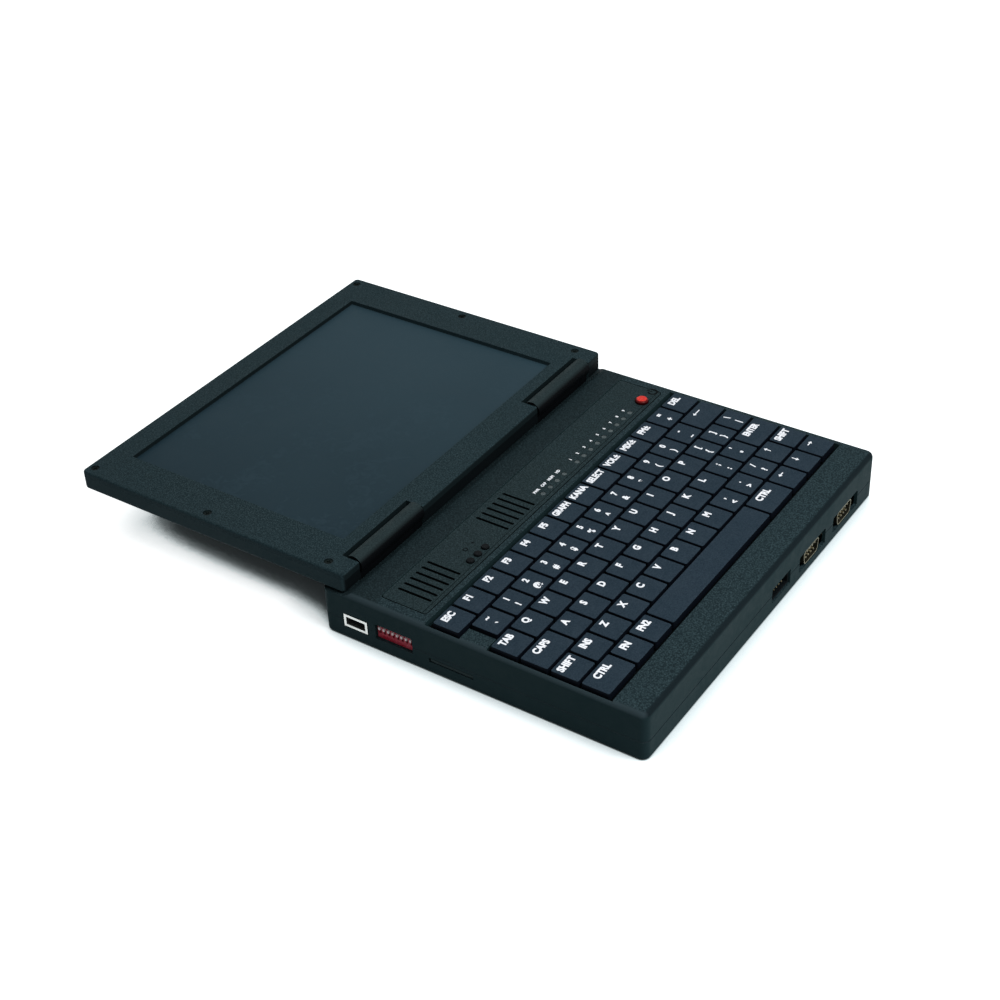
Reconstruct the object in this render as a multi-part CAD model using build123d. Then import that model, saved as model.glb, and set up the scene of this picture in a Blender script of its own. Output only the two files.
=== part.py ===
from build123d import *
import math
import os

# A small laptop with its lid laid back flat. Millimetres; +X is the user's right, +Y runs from the
# front edge to the hinge and on over the open lid, +Z is up. The origin is on the desk, right below
# the middle of the hinge axis.

# Keyboard
key_pitch_x = 16.0
key_pitch_y = 15.75
key_gap_x = 1.55
key_gap_y = 1.7
key_columns = 14
key_cap_height = 3.6
key_cap_flare = 0.3
key_cap_corner = 0.9
key_cap_edge = 0.3
key_cap_wall = 1.0
key_rise = 1.5
key_travel = 1.8
key_stem = 5.0
key_stem_reach = 7.3
key_stem_clearance = 0.3
key_floor_gap = 0.3
well_gap = 0.6
well_back_gap = 2.9
well_front_gap = 1.5
well_skirt = 1.0
frame_margin = 3.0
frame_back_margin = 1.7
frame_wall_gap = 0.2
frame_thickness = 3.8
membrane_thickness = 0.6
backplate_thickness = 0.8

# Base case
case_wall = 1.8
top_thickness = 2.4
floor_thickness = 1.6
base_height = 26.0
seam_height = 9.9
seam_bevel = 0.25
corner_radius = 4.0
top_edge_radius = 3.0
bottom_edge_radius = 0.5
side_margin_left = 2.0
side_margin_right = 5.0
palm_rest_depth = 19.1
panel_to_keys = 6.45
panel_depth = 25.25
panel_side_margin = 7.5
panel_thickness = 1.2
panel_groove = 0.5
panel_corner = 1.5
lip_line_offset = 1.75
lip_line_width = 0.4
lip_line_depth = 0.3
hinge_zone_depth = 20.3
base_rear_overhang = 9.6
ledge_slope_start = 6.9
ledge_slope_end = 2.9
foot_height = 0.8
foot_radius = 5.0
foot_inset = 14.0
foot_pocket = 0.5

# Lid
lid_side_setback = 1.3
lid_front_setback = 2.6
lid_hinge_lap = 3.8
lid_thickness = 10.6
lid_inner_above_axis = 3.45
lid_wall = 1.8
lid_corner_radius = 2.5
lid_outer_edge = 1.5
lid_inner_edge = 1.0
closed_gap = 0.95
ledge_gap = 0.95
bezel_side = 22.7
bezel_far = 13.9
bezel_near = 17.2
bezel_thickness = 2.3
glass_thickness = 0.8
glass_lap = 2.0
display_lap = 6.0
display_back_gap = 2.0
display_rib_width = 6.0
driver_board_length = 70.0
driver_board_width = 24.0
driver_board_thickness = 1.0

# Hinge
pin_radius = 1.25
pin_fit = 0.02
pin_running_fit = 0.08
barrel_radius = 4.8
barrel_length = 49.8
barrel_end_gap = 0.6
barrel_outer_offset = 12.8
barrel_neck_front = 2.8
barrel_neck_back = 3.6
notch_gap = 1.4
pin_grip = 8.0
hinge_strip = 1.8

# Control panel: grilles, buttons, status lights
grille_slots = 6
grille_pitch = 4.65
grille_slot_width = 1.5
grille_slot_length = 19.0
grille_left_x = -87.4
grille_middle_x = -23.3
grille_window_margin = 1.6
speaker_thickness = 5.0
speaker_margin = 2.0
speaker_cone_radius = 9.0
speaker_cone_depth = 2.5
button_row_offset = 4.75
small_button_radius = 1.95
small_button_rise = 1.0
small_button_crown = 0.45
small_button_travel = 0.8
small_button_x = -65.1
small_button_pitch = 6.25
small_button_count = 3
power_button_radius = 3.55
power_button_rise = 1.9
power_button_crown = 1.3
power_button_travel = 1.2
power_button_x = 95.6
button_clearance = 0.2
button_flange = 0.8
button_flange_thickness = 0.8
button_seat_gap = 0.1
light_radius = 1.4
light_clearance = 0.05
light_pitch = 6.56
light_group_x = (-1.5, 30.5)
light_group_count = (4, 9)
control_board_drop = 8.2
control_board_thickness = 1.2
control_board_width = 10.0
control_post_radius = 2.0
switch_size = 4.4
switch_gap = 0.3

# Screws
screw_radius = 1.25
screw_head_radius = 2.2
screw_head_height = 1.6
screw_head_clearance = 0.2
boss_radius = 3.2
boss_inset = 8.0
screw_bite = 6.0
lid_screw_radius = 1.0
lid_screw_head_radius = 2.0
lid_screw_head_height = 0.9
lid_screw_recess = 0.5
lid_screw_length = 6.5
lid_screw_side = 5.5
lid_screw_far = 4.4
lid_screw_near = 12.8
lid_boss_radius = 3.0
cross_slot_width = 0.7
cross_slot_depth = 0.5

# Inside the base
board_gap = 1.2
board_thickness = 1.4
board_edge_gap = 2.5
board_side_width = 45.0
board_front_depth = 50.0
standoff_radius = 2.5
board_boss_clearance = 0.6
battery_height = 10.6
battery_gap = 6.0
battery_depth = 82.0
post_radius = 2.2
chip_height = 1.4

# Ports in the front wall
port_window_width = 28.4
port_window_height = 9.1
port_window_chamfer = 0.9
port_height = 8.8
port_right_inset = 33.2
port_pitch = 36.9
dsub_shift = -0.9
dsub_top_width = 17.0
dsub_bottom_width = 14.0
dsub_height = 8.0
dsub_corner = 2.2
dsub_wall = 0.5
dsub_reach = 6.0
dsub_setback = 0.3
dsub_flange_width = 30.8
dsub_flange_thickness = 0.8
dsub_pin_radius = 0.5
dsub_pin_pitch = 2.74
dsub_row_pitch = 2.84
dsub_pin_reach = 4.6
dsub_body_depth = 8.0
header_inset = 103.65
header_width = 18.5
header_height = 7.9
header_wall = 1.0
header_depth = 9.0
header_cavity_depth = 6.0
header_setback = 1.0
header_rise = 9.2
header_columns = 5
header_pin_pitch = 2.54
header_pin_size = 0.64
header_pin_reach = 4.6
window_clearance = 0.3

# Ports in the left wall
usb_from_hinge = 9.45
usb_width = 13.6
usb_height = 7.0
usb_wall = 1.3
usb_clearance = 0.4
usb_depth = 14.0
usb_proud = 0.1
usb_rise = 10.05
usb_tongue_width = 10.2
usb_tongue_thickness = 1.8
usb_tongue_setback = 2.0
usb_back_thickness = 3.0
dip_from_hinge = 31.45
dip_rise = 10.5
dip_window_width = 21.2
dip_window_height = 8.5
dip_body_width = 20.8
dip_body_depth = 9.0
dip_count = 8
dip_pitch = 2.54
dip_slot_width = 1.3
dip_slot_height = 4.0
dip_slot_depth = 1.8
dip_slot_rise = 0.6
dip_lever_height = 1.5
dip_lever_reach = 1.0
dip_lever_clearance = 0.15
card_from_hinge = 63.5
card_rise = 6.8
card_slot_width = 24.6
card_slot_height = 2.4
card_body_width = 28.6
card_body_depth = 27.0
card_body_wall = 0.6

# Power inlet in the back wall
jack_x = -88.0
jack_rise = 10.2
jack_window_radius = 3.6
jack_bore_radius = 2.75
jack_pin_radius = 1.0
jack_bore_depth = 9.0
jack_body_width = 10.0
jack_body_depth = 13.0
jack_ring_radius = 3.4

# Each row of keys from the back to the front: its start, in key widths, and its keys as
# (piece, width in key widths).
key_rows = [
    (0.0, [("key_escape", 1.0)] + [("keys_function", 1.0)] * 12 + [("key_delete", 1.0)]),
    (0.5, [("keys_number", 1.0)] * 12 + [("key_backspace", 1.5)]),
    (0.0, [("key_tab", 1.0)] + [("keys_upper_letter", 1.0)] * 13),
    (0.0, [("key_caps_lock", 1.5)] + [("keys_home_letter", 1.0)] * 11 + [("key_enter", 1.5)]),
    (0.0, [("keys_shift", 1.0), ("key_insert", 1.0)] + [("keys_lower_letter", 1.0)] * 10
     + [("key_arrow_up", 1.0), ("keys_shift", 1.0)]),
    (0.0, [("keys_control", 1.5), ("keys_fn", 1.0), ("keys_fn", 1.0), ("key_space", 6.0),
           ("keys_control", 1.5), ("key_arrow_left", 1.0), ("key_arrow_down", 1.0),
           ("key_arrow_right", 1.0)]),
]

# Plan of the base, from the hinge axis forwards
panel_back_y = -hinge_zone_depth
panel_front_y = panel_back_y - panel_depth
keyboard_back_y = panel_front_y - panel_to_keys
keyboard_front_y = keyboard_back_y - len(key_rows) * key_pitch_y
base_front_y = keyboard_front_y - palm_rest_depth
base_back_y = base_rear_overhang
base_width = side_margin_left + key_columns * key_pitch_x + side_margin_right
base_left_x = -base_width / 2
base_right_x = base_width / 2
keyboard_left_x = base_left_x + side_margin_left
keyboard_right_x = keyboard_left_x + key_columns * key_pitch_x
button_row_y = panel_front_y + button_row_offset
panel_middle_y = (panel_front_y + panel_back_y) / 2
grille_middle_y = panel_front_y + button_row_offset + grille_slot_length / 2 - 1.6

# Heights of the base
base_bottom_z = foot_height
base_top_z = base_bottom_z + base_height
seam_z = base_bottom_z + seam_height
floor_z = base_bottom_z + floor_thickness
key_top_z = base_top_z + key_rise
key_cap_bottom_z = key_top_z - key_cap_height
frame_top_z = key_cap_bottom_z - key_travel - key_floor_gap
frame_bottom_z = frame_top_z - frame_thickness
membrane_bottom_z = frame_bottom_z - membrane_thickness
backplate_bottom_z = membrane_bottom_z - backplate_thickness
pocket_floor_z = base_top_z - panel_thickness
top_inner_z = base_top_z - top_thickness
board_bottom_z = floor_z + board_gap
board_top_z = board_bottom_z + board_thickness
control_board_top_z = top_inner_z - control_board_drop
port_z = base_bottom_z + port_height
header_z = base_bottom_z + header_rise

# Hinge and lid
axis_rise = key_rise + closed_gap + lid_inner_above_axis
axis_z = base_top_z + axis_rise
lid_inner_z = axis_z + lid_inner_above_axis
lid_outer_z = lid_inner_z - lid_thickness
ledge_z = lid_outer_z - ledge_gap
lid_half_width = base_width / 2 - lid_side_setback
lid_near_y = -lid_hinge_lap
lid_far_y = -base_front_y - lid_front_setback
notch_outer_x = lid_half_width - barrel_outer_offset + barrel_end_gap
notch_inner_x = notch_outer_x - barrel_length - 2 * barrel_end_gap
notch_back_y = barrel_radius + notch_gap
strip_back_y = notch_back_y + hinge_strip
opening_half_width = lid_half_width - bezel_side
opening_near_y = lid_near_y + bezel_near
opening_far_y = lid_far_y - bezel_far
bezel_plate_z = lid_inner_z - bezel_thickness
glass_bottom_z = bezel_plate_z - glass_thickness
display_back_z = lid_outer_z + lid_wall + display_back_gap


def block(x0, x1, y0, y1, z0, z1):
    middle = Pos((x0 + x1) / 2, (y0 + y1) / 2, (z0 + z1) / 2)
    return middle * Box(x1 - x0, y1 - y0, z1 - z0)


def post(x, y, z0, z1, radius):
    return Pos(x, y, (z0 + z1) / 2) * Cylinder(radius, z1 - z0)


def rod_x(x0, x1, y, z, radius):
    return Pos((x0 + x1) / 2, y, z) * Rot(0, 90, 0) * Cylinder(radius, x1 - x0)


def rod_y(x, y0, y1, z, radius):
    return Pos(x, (y0 + y1) / 2, z) * Rot(90, 0, 0) * Cylinder(radius, y1 - y0)


def rounded_slab(x0, x1, y0, y1, z0, z1, radius):
    outline = RectangleRounded(x1 - x0, y1 - y0, radius)
    return Pos((x0 + x1) / 2, (y0 + y1) / 2, z0) * extrude(outline, amount=z1 - z0)


def inner_corner(radius, wall):
    # The corner on a wall's inside, nearly sharp where the wall is as thick as the corner is round.
    return max(radius - wall, 0.2)


def edge_round(radius, corner):
    # An edge that runs round an upright corner can't be rounder than that corner.
    return min(radius, 0.9 * corner)


def front_extrusion(outline, x, y_back, y_front, z):
    # Pushes an outline drawn in X and Z from y_back forwards to y_front.
    plane = Plane(origin=(x, y_back, z), x_dir=(1, 0, 0), z_dir=(0, -1, 0))
    return extrude(plane * outline, amount=y_back - y_front)


def save(name, solids):
    pieces = solids if isinstance(solids, list) else [solids]
    shape = pieces[0] if len(pieces) == 1 else Compound(pieces)
    export_step(shape, f"parts/{name}.step")


def key_centres():
    # Every key as (piece, middle x, middle y, width in key widths).
    centres = []
    for row, (start, keys) in enumerate(key_rows):
        y = keyboard_back_y - (row + 0.5) * key_pitch_y
        at = start
        for piece, width in keys:
            x = keyboard_left_x + (at + width / 2) * key_pitch_x
            centres.append((piece, x, y, width))
            at += width
    return centres


def stem_offsets(width):
    # A long key stands on two stems, any other key on one.
    spread = (width - 2) * key_pitch_x / 2
    return [-spread, spread] if width > 2 else [0.0]


def keycap(x, y, width):
    top_x = width * key_pitch_x - key_gap_x
    top_y = key_pitch_y - key_gap_y
    flare = 2 * key_cap_flare
    slope = math.degrees(math.atan(key_cap_flare / key_cap_height))
    foot = RectangleRounded(top_x + flare, top_y + flare, key_cap_corner + key_cap_flare)
    cap = extrude(foot, amount=key_cap_height, taper=slope)
    cap = fillet(cap.faces().sort_by(Axis.Z)[-1].edges(), key_cap_edge)
    hollow_height = key_cap_height - key_cap_wall
    hollow = Box(top_x - 2 * key_cap_wall, top_y - 2 * key_cap_wall, hollow_height,
                 align=(Align.CENTER, Align.CENTER, Align.MIN))
    cap -= hollow
    for offset in stem_offsets(width):
        stem = Box(key_stem, key_stem, key_stem_reach - key_cap_wall,
                   align=(Align.CENTER, Align.CENTER, Align.MAX))
        cap += Pos(offset, 0, hollow_height) * stem
    return Pos(x, y, key_cap_bottom_z) * cap


def keys_by_piece():
    pieces = {}
    for piece, x, y, width in key_centres():
        pieces.setdefault(piece, []).append(keycap(x, y, width))
    return pieces


def well_outline(grow):
    # The keyboard's opening: the whole block of keys without the half key left of the second row.
    left = keyboard_left_x - well_gap - grow
    right = keyboard_right_x + well_gap + grow
    back = keyboard_back_y + well_back_gap + grow
    front = keyboard_front_y - well_front_gap - grow
    outline = Pos((left + right) / 2, (back + front) / 2) * Rectangle(right - left, back - front)
    for row, (start, keys) in enumerate(key_rows):
        if start > 0:
            filled_right = keyboard_left_x + start * key_pitch_x - well_gap - grow
            filled_back = keyboard_back_y - row * key_pitch_y - well_gap - grow
            filled_front = filled_back - key_pitch_y + 2 * (well_gap + grow)
            middle = Pos((left + filled_right) / 2, (filled_back + filled_front) / 2)
            outline -= middle * Rectangle(filled_right - left, filled_back - filled_front)
    return outline


def keyboard_frame():
    left = base_left_x + case_wall + frame_wall_gap
    right = base_right_x - case_wall - frame_wall_gap
    back = keyboard_back_y + well_back_gap + frame_back_margin
    front = keyboard_front_y - well_front_gap - frame_margin
    sheet = Pos((left + right) / 2, (back + front) / 2) * Rectangle(right - left, back - front)
    hole = key_stem + 2 * key_stem_clearance
    guides = []
    for piece, x, y, width in key_centres():
        for offset in stem_offsets(width):
            guides.append(Pos(x + offset, y) * Rectangle(hole, hole))
    guided = sheet - guides
    frame = Pos(0, 0, frame_bottom_z) * extrude(guided, amount=frame_thickness)
    membrane = Pos(0, 0, membrane_bottom_z) * extrude(sheet, amount=membrane_thickness)
    backplate = Pos(0, 0, backplate_bottom_z) * extrude(sheet, amount=backplate_thickness)
    return frame, membrane, backplate


def screw_places():
    front_y = base_front_y + boss_inset
    back_y = base_back_y - boss_inset
    left = base_left_x + boss_inset
    right = base_right_x - boss_inset
    middle = base_right_x - header_inset - header_width - boss_radius
    return [(left, front_y), (middle, front_y), (right, front_y),
            (left, back_y), (0.0, back_y), (right, back_y)]


def foot_places():
    xs = (base_left_x + foot_inset, base_right_x - foot_inset)
    ys = (base_front_y + foot_inset, base_back_y - foot_inset)
    return [(x, y) for x in xs for y in ys]


def port_places():
    right = base_right_x - port_right_inset
    return [right - port_pitch, right]


def dsub_places():
    # The connectors sit a little left of their windows' middles.
    return [x + dsub_shift for x in port_places()]


def window_outline(width, height, chamfer):
    # A window with its two upper corners cut off.
    x = width / 2
    z = height / 2
    return Polygon((-x, -z), (x, -z), (x, z - chamfer), (x - chamfer, z), (-x + chamfer, z),
                   (-x, z - chamfer), align=None)


def wall_windows():
    # Openings that cross the front, left and back walls, cut from both halves of the case.
    outside = base_front_y - case_wall
    inside = base_front_y + 2 * case_wall
    cuts = []
    for x in port_places():
        outline = window_outline(port_window_width, port_window_height, port_window_chamfer)
        cuts.append(front_extrusion(outline, x, inside, outside, port_z))
    header_x = base_right_x - header_inset
    half_x = header_width / 2 + window_clearance
    half_z = header_height / 2 + window_clearance
    cuts.append(block(header_x - half_x, header_x + half_x, outside, inside, header_z - half_z,
                      header_z + half_z))
    left_out = base_left_x - case_wall
    left_in = base_left_x + 2 * case_wall
    usb_y = usb_width / 2 + usb_clearance
    usb_z = usb_height / 2 + usb_clearance
    cuts.append(block(left_out, left_in, -usb_from_hinge - usb_y, -usb_from_hinge + usb_y,
                      base_bottom_z + usb_rise - usb_z, base_bottom_z + usb_rise + usb_z))
    cuts.append(block(left_out, left_in, -dip_from_hinge - dip_window_width / 2,
                      -dip_from_hinge + dip_window_width / 2,
                      base_bottom_z + dip_rise - dip_window_height / 2,
                      base_bottom_z + dip_rise + dip_window_height / 2))
    cuts.append(block(left_out, left_in, -card_from_hinge - card_slot_width / 2,
                      -card_from_hinge + card_slot_width / 2,
                      base_bottom_z + card_rise - card_slot_height / 2,
                      base_bottom_z + card_rise + card_slot_height / 2))
    cuts.append(rod_y(jack_x, base_back_y - 2 * case_wall, base_back_y + case_wall,
                      base_bottom_z + jack_rise, jack_window_radius))
    return cuts


def board_outline():
    # An L: a strip along the left wall and a strip along the front wall.
    left = base_left_x + case_wall + board_edge_gap
    right = base_right_x - case_wall - board_edge_gap
    front = base_front_y + case_wall + board_edge_gap
    back = base_back_y - case_wall - board_edge_gap
    side = left + board_side_width
    front_back = front + board_front_depth
    return [(left, front), (right, front), (right, front_back), (side, front_back), (side, back),
            (left, back)]


def standoff_places():
    (left, front), (right, low), (far, front_back), (side, high), (near, back), (x, y) = board_outline()
    inset = 2 * boss_radius
    return [(left + board_side_width / 2, front + inset), (0.0, front_back - inset),
            (right - inset, front_back - inset), (side - inset, back - inset),
            (side - inset, front_back + inset)]


def support_places():
    # Posts under the keyboard, beside the board and the battery.
    side = board_outline()[3][0] + battery_gap / 2
    right = base_right_x - case_wall - battery_gap / 2
    ys = (keyboard_back_y - key_pitch_y, keyboard_back_y - 2 * key_pitch_y)
    return [(x, y) for x in (side, right) for y in ys]


def base_bottom_shell():
    shell = rounded_slab(base_left_x, base_right_x, base_front_y, base_back_y, base_bottom_z, seam_z,
                         corner_radius)
    shell = fillet(shell.faces().sort_by(Axis.Z)[0].edges(),
                   edge_round(bottom_edge_radius, corner_radius))
    shell = chamfer(shell.faces().sort_by(Axis.Z)[-1].edges(), seam_bevel)
    shell -= rounded_slab(base_left_x + case_wall, base_right_x - case_wall,
                          base_front_y + case_wall, base_back_y - case_wall,
                          floor_z, seam_z + case_wall, inner_corner(corner_radius, case_wall))
    for x, y in screw_places():
        shell += post(x, y, floor_z - floor_thickness / 2, seam_z, boss_radius)
    for x, y in standoff_places():
        shell += post(x, y, floor_z - floor_thickness / 2, board_bottom_z, standoff_radius)
    for x, y in support_places():
        shell += post(x, y, floor_z - floor_thickness / 2, backplate_bottom_z, post_radius)
    for x, y in screw_places():
        shell -= post(x, y, base_bottom_z - 1, seam_z + 1, screw_radius)
        head_top = base_bottom_z + screw_head_height + screw_head_clearance
        shell -= post(x, y, base_bottom_z - 1, head_top, screw_head_radius + screw_head_clearance)
    for x, y in foot_places():
        shell -= post(x, y, base_bottom_z - 1, base_bottom_z + foot_pocket, foot_radius)
    return shell - wall_windows()


def rear_ledge_cut():
    # Everything above the sloped step that lets the lid lie back behind the hinge.
    high = base_top_z + top_thickness
    back = base_back_y + case_wall
    profile = Polygon((-ledge_slope_start, high), (-ledge_slope_start, base_top_z),
                      (-ledge_slope_end, ledge_z), (back, ledge_z), (back, high), align=None)
    plane = Plane(origin=(base_left_x - case_wall, 0, 0), x_dir=(0, 1, 0), z_dir=(1, 0, 0))
    return extrude(plane * profile, amount=base_width + 2 * case_wall)


def grille_slots_at(middle_x, z0, z1):
    slots = []
    for index in range(grille_slots):
        x = middle_x + (index - (grille_slots - 1) / 2) * grille_pitch
        outline = Rot(0, 0, 90) * SlotOverall(grille_slot_length, grille_slot_width)
        slots.append(Pos(x, grille_middle_y, z0) * extrude(outline, amount=z1 - z0))
    return slots


def light_places():
    places = []
    for start, count in zip(light_group_x, light_group_count):
        places += [start + index * light_pitch for index in range(count)]
    return places


def small_button_places():
    return [small_button_x + index * small_button_pitch for index in range(small_button_count)]


def panel_holes(z0, z1):
    # The buttons' and lights' holes, the same through the panel and the case below it.
    cuts = []
    for x in light_places():
        cuts.append(post(x, button_row_y, z0, z1, light_radius + light_clearance))
    for x in small_button_places():
        cuts.append(post(x, button_row_y, z0, z1, small_button_radius + button_clearance))
    cuts.append(post(power_button_x, button_row_y, z0, z1, power_button_radius + button_clearance))
    return cuts


def control_post_places():
    y = button_row_y + control_board_width / 2 - control_post_radius
    first = small_button_x + small_button_count * small_button_pitch
    middle = light_group_x[0] - light_pitch / 2
    last = power_button_x + 2 * power_button_radius
    return [(first, y), (middle, y), (last, y)]


def base_top_shell():
    shell = rounded_slab(base_left_x, base_right_x, base_front_y, base_back_y, seam_z, base_top_z,
                         corner_radius)
    shell = fillet(shell.faces().sort_by(Axis.Z)[-1].edges(),
                   edge_round(top_edge_radius, corner_radius))
    shell = chamfer(shell.faces().sort_by(Axis.Z)[0].edges(), seam_bevel)
    shell -= rear_ledge_cut()
    inner_radius = inner_corner(corner_radius, case_wall)
    inner_left = base_left_x + case_wall
    inner_right = base_right_x - case_wall
    inner_front = base_front_y + case_wall
    inner_back = base_back_y - case_wall
    step_y = -ledge_slope_start - top_thickness
    low = seam_z - case_wall
    shell -= rounded_slab(inner_left, inner_right, inner_front, inner_back, low,
                          ledge_z - top_thickness, inner_radius)
    shell -= rounded_slab(inner_left, inner_right, inner_front, step_y, low, top_inner_z, inner_radius)
    skirt = well_outline(well_skirt) & Pos(0, (base_front_y + step_y) / 2) * Rectangle(
        inner_right - inner_left, step_y - base_front_y)
    shell += Pos(0, 0, frame_top_z) * extrude(skirt, amount=top_inner_z - frame_top_z)
    opening = well_outline(0)
    between_walls = opening & Pos(0, (base_front_y + step_y) / 2) * Rectangle(
        inner_right - inner_left, step_y - base_front_y)
    shell -= Pos(0, 0, low) * extrude(between_walls, amount=base_top_z + key_rise - low)
    shell -= Pos(0, 0, frame_top_z) * extrude(opening, amount=base_top_z + key_rise - frame_top_z)
    for x, y in screw_places():
        roof = top_inner_z if y < step_y else ledge_z - top_thickness
        shell += post(x, y, seam_z, roof + top_thickness / 2, boss_radius)
        shell -= post(x, y, seam_z - 1, seam_z + screw_bite, screw_radius)
    for x, y in control_post_places():
        shell += post(x, y, control_board_top_z, top_inner_z + panel_thickness / 2,
                      control_post_radius)
    panel_left = base_left_x + panel_side_margin - panel_groove
    panel_right = base_right_x - panel_side_margin + panel_groove
    shell -= rounded_slab(panel_left, panel_right, panel_front_y - panel_groove,
                          panel_back_y + panel_groove, pocket_floor_z, base_top_z + key_rise,
                          panel_corner + panel_groove)
    shell -= panel_holes(top_inner_z - 1, base_top_z)
    window_width = (grille_slots - 1) * grille_pitch + grille_slot_width + grille_window_margin
    for x in (grille_left_x, grille_middle_x):
        shell -= block(x - window_width / 2, x + window_width / 2,
                       grille_middle_y - grille_slot_length / 2, grille_middle_y + grille_slot_length / 2,
                       top_inner_z - 1, base_top_z)
    return shell - wall_windows()


def control_panel():
    panel = rounded_slab(base_left_x + panel_side_margin, base_right_x - panel_side_margin,
                         panel_front_y, panel_back_y, pocket_floor_z, base_top_z, panel_corner)
    for x in (grille_left_x, grille_middle_x):
        panel -= grille_slots_at(x, pocket_floor_z - 1, base_top_z + 1)
    line_y = panel_front_y + lip_line_offset
    panel -= block(base_left_x, base_right_x, line_y, line_y + lip_line_width,
                   base_top_z - lip_line_depth, base_top_z + key_rise)
    return panel - panel_holes(pocket_floor_z - 1, base_top_z + 1)


def button_stack(x, radius, rise, crown, travel):
    # A round cap through the panel, with a flange below the case that keeps it in.
    flange_top = top_inner_z - button_seat_gap
    flange_bottom = flange_top - button_flange_thickness
    cap = post(x, button_row_y, flange_bottom, base_top_z + rise, radius)
    cap = fillet(cap.faces().sort_by(Axis.Z)[-1].edges(), crown)
    flange = post(x, button_row_y, flange_bottom, flange_top, radius + button_flange)
    return cap + flange


def button_reach(travel):
    # The height of a switch's top: the flange's underside, less the travel and a gap.
    return top_inner_z - button_seat_gap - button_flange_thickness - travel - switch_gap


def control_board():
    left = small_button_x - small_button_pitch - control_post_radius
    right = power_button_x + 2 * power_button_radius + control_post_radius
    half = control_board_width / 2
    bottom = control_board_top_z - control_board_thickness
    board = block(left, right, button_row_y - half, button_row_y + half, bottom, control_board_top_z)
    half_switch = switch_size / 2
    for x in small_button_places():
        board += block(x - half_switch, x + half_switch, button_row_y - half_switch,
                       button_row_y + half_switch, control_board_top_z - 0.1,
                       button_reach(small_button_travel))
    x = power_button_x
    board += block(x - half_switch, x + half_switch, button_row_y - half_switch,
                   button_row_y + half_switch, control_board_top_z - 0.1,
                   button_reach(power_button_travel))
    return board


def status_lights():
    lights = []
    for x in light_places():
        rod = post(x, button_row_y, control_board_top_z, base_top_z, light_radius)
        lights.append(fillet(rod.faces().sort_by(Axis.Z)[-1].edges(), light_radius / 4))
    return lights


def speakers():
    width = (grille_slots - 1) * grille_pitch + grille_slot_width + grille_window_margin
    half_x = width / 2 + speaker_margin
    half_y = grille_slot_length / 2 + speaker_margin
    bottom = top_inner_z - speaker_thickness
    units = []
    for x in (grille_left_x, grille_middle_x):
        unit = rounded_slab(x - half_x, x + half_x, grille_middle_y - half_y,
                            grille_middle_y + half_y, bottom, top_inner_z, speaker_margin)
        cone = Pos(x, grille_middle_y, top_inner_z - speaker_cone_depth / 2) * Cone(
            speaker_cone_radius / 2, speaker_cone_radius, speaker_cone_depth)
        units.append(unit - cone)
    return units


def mainboard():
    board = Pos(0, 0, board_bottom_z) * extrude(Polygon(*board_outline(), align=None),
                                                amount=board_thickness)
    left, front = board_outline()[0]
    right = board_outline()[1][0]
    front_back = board_outline()[2][1]
    for x, y in screw_places():
        board -= post(x, y, board_bottom_z - 1, board_top_z + 1, boss_radius + board_boss_clearance)
    chip_size = board_front_depth / 2
    chips = [(left + board_side_width, front_back - chip_size, chip_size),
             (-chip_size, front_back - chip_size * 0.7, chip_size / 2),
             (0.0, front_back - chip_size * 0.7, chip_size / 2),
             (right / 2, front_back - chip_size * 0.6, chip_size / 2)]
    for x, y, size in chips:
        board += block(x - size / 2, x + size / 2, y - size / 2, y + size / 2,
                       board_top_z - 0.1, board_top_z + chip_height)
    return board


def battery_pack():
    side = board_outline()[3][0]
    right = base_right_x - case_wall - 2 * battery_gap
    left = side + battery_gap
    back = -boss_inset - 2 * battery_gap
    pack = rounded_slab(left, right, back - battery_depth, back, floor_z, floor_z + battery_height,
                        battery_gap / 2)
    return fillet(pack.faces().sort_by(Axis.Z)[-1].edges(), battery_gap / 4)


def usb_shell():
    z = base_bottom_z + usb_rise
    half_y = usb_width / 2
    half_z = usb_height / 2
    left = base_left_x - usb_proud
    right = left + usb_depth
    shell = block(left, right, -usb_from_hinge - half_y, -usb_from_hinge + half_y, z - half_z, z + half_z)
    shell -= block(left - 1, right + 1, -usb_from_hinge - half_y + usb_wall,
                   -usb_from_hinge + half_y - usb_wall, z - half_z + usb_wall, z + half_z - usb_wall)
    for x in (left + usb_depth / 2, right - usb_back_thickness / 2):
        for y in (-usb_from_hinge - half_y, -usb_from_hinge + half_y - usb_wall):
            shell += block(x - 1, x + 1, y, y + usb_wall, board_top_z, z - half_z + usb_wall)
    return shell


def usb_tongue():
    z = base_bottom_z + usb_rise
    left = base_left_x - usb_proud
    right = left + usb_depth
    inner_y = usb_width / 2 - usb_wall
    inner_z = usb_height / 2 - usb_wall
    back = block(right - usb_back_thickness, right, -usb_from_hinge - inner_y,
                 -usb_from_hinge + inner_y, z - inner_z, z + inner_z)
    half = usb_tongue_width / 2
    tongue = block(left + usb_tongue_setback, right - usb_back_thickness, -usb_from_hinge - half,
                   -usb_from_hinge + half, z + inner_z - 2 * usb_tongue_thickness,
                   z + inner_z - usb_tongue_thickness)
    return back + tongue


def dip_lever_places():
    return [-dip_from_hinge + (index - (dip_count - 1) / 2) * dip_pitch for index in range(dip_count)]


def dip_switch_body():
    left = base_left_x + case_wall
    z = base_bottom_z + dip_rise + dip_slot_rise
    half_slot = dip_slot_width / 2
    body = block(left, left + dip_body_depth, -dip_from_hinge - dip_body_width / 2,
                 -dip_from_hinge + dip_body_width / 2, board_top_z,
                 base_bottom_z + dip_rise + dip_window_height / 2 + window_clearance)
    for y in dip_lever_places():
        body -= block(left - 1, left + dip_slot_depth, y - half_slot, y + half_slot,
                      z - dip_slot_height / 2, z + dip_slot_height / 2)
    return body


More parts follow.
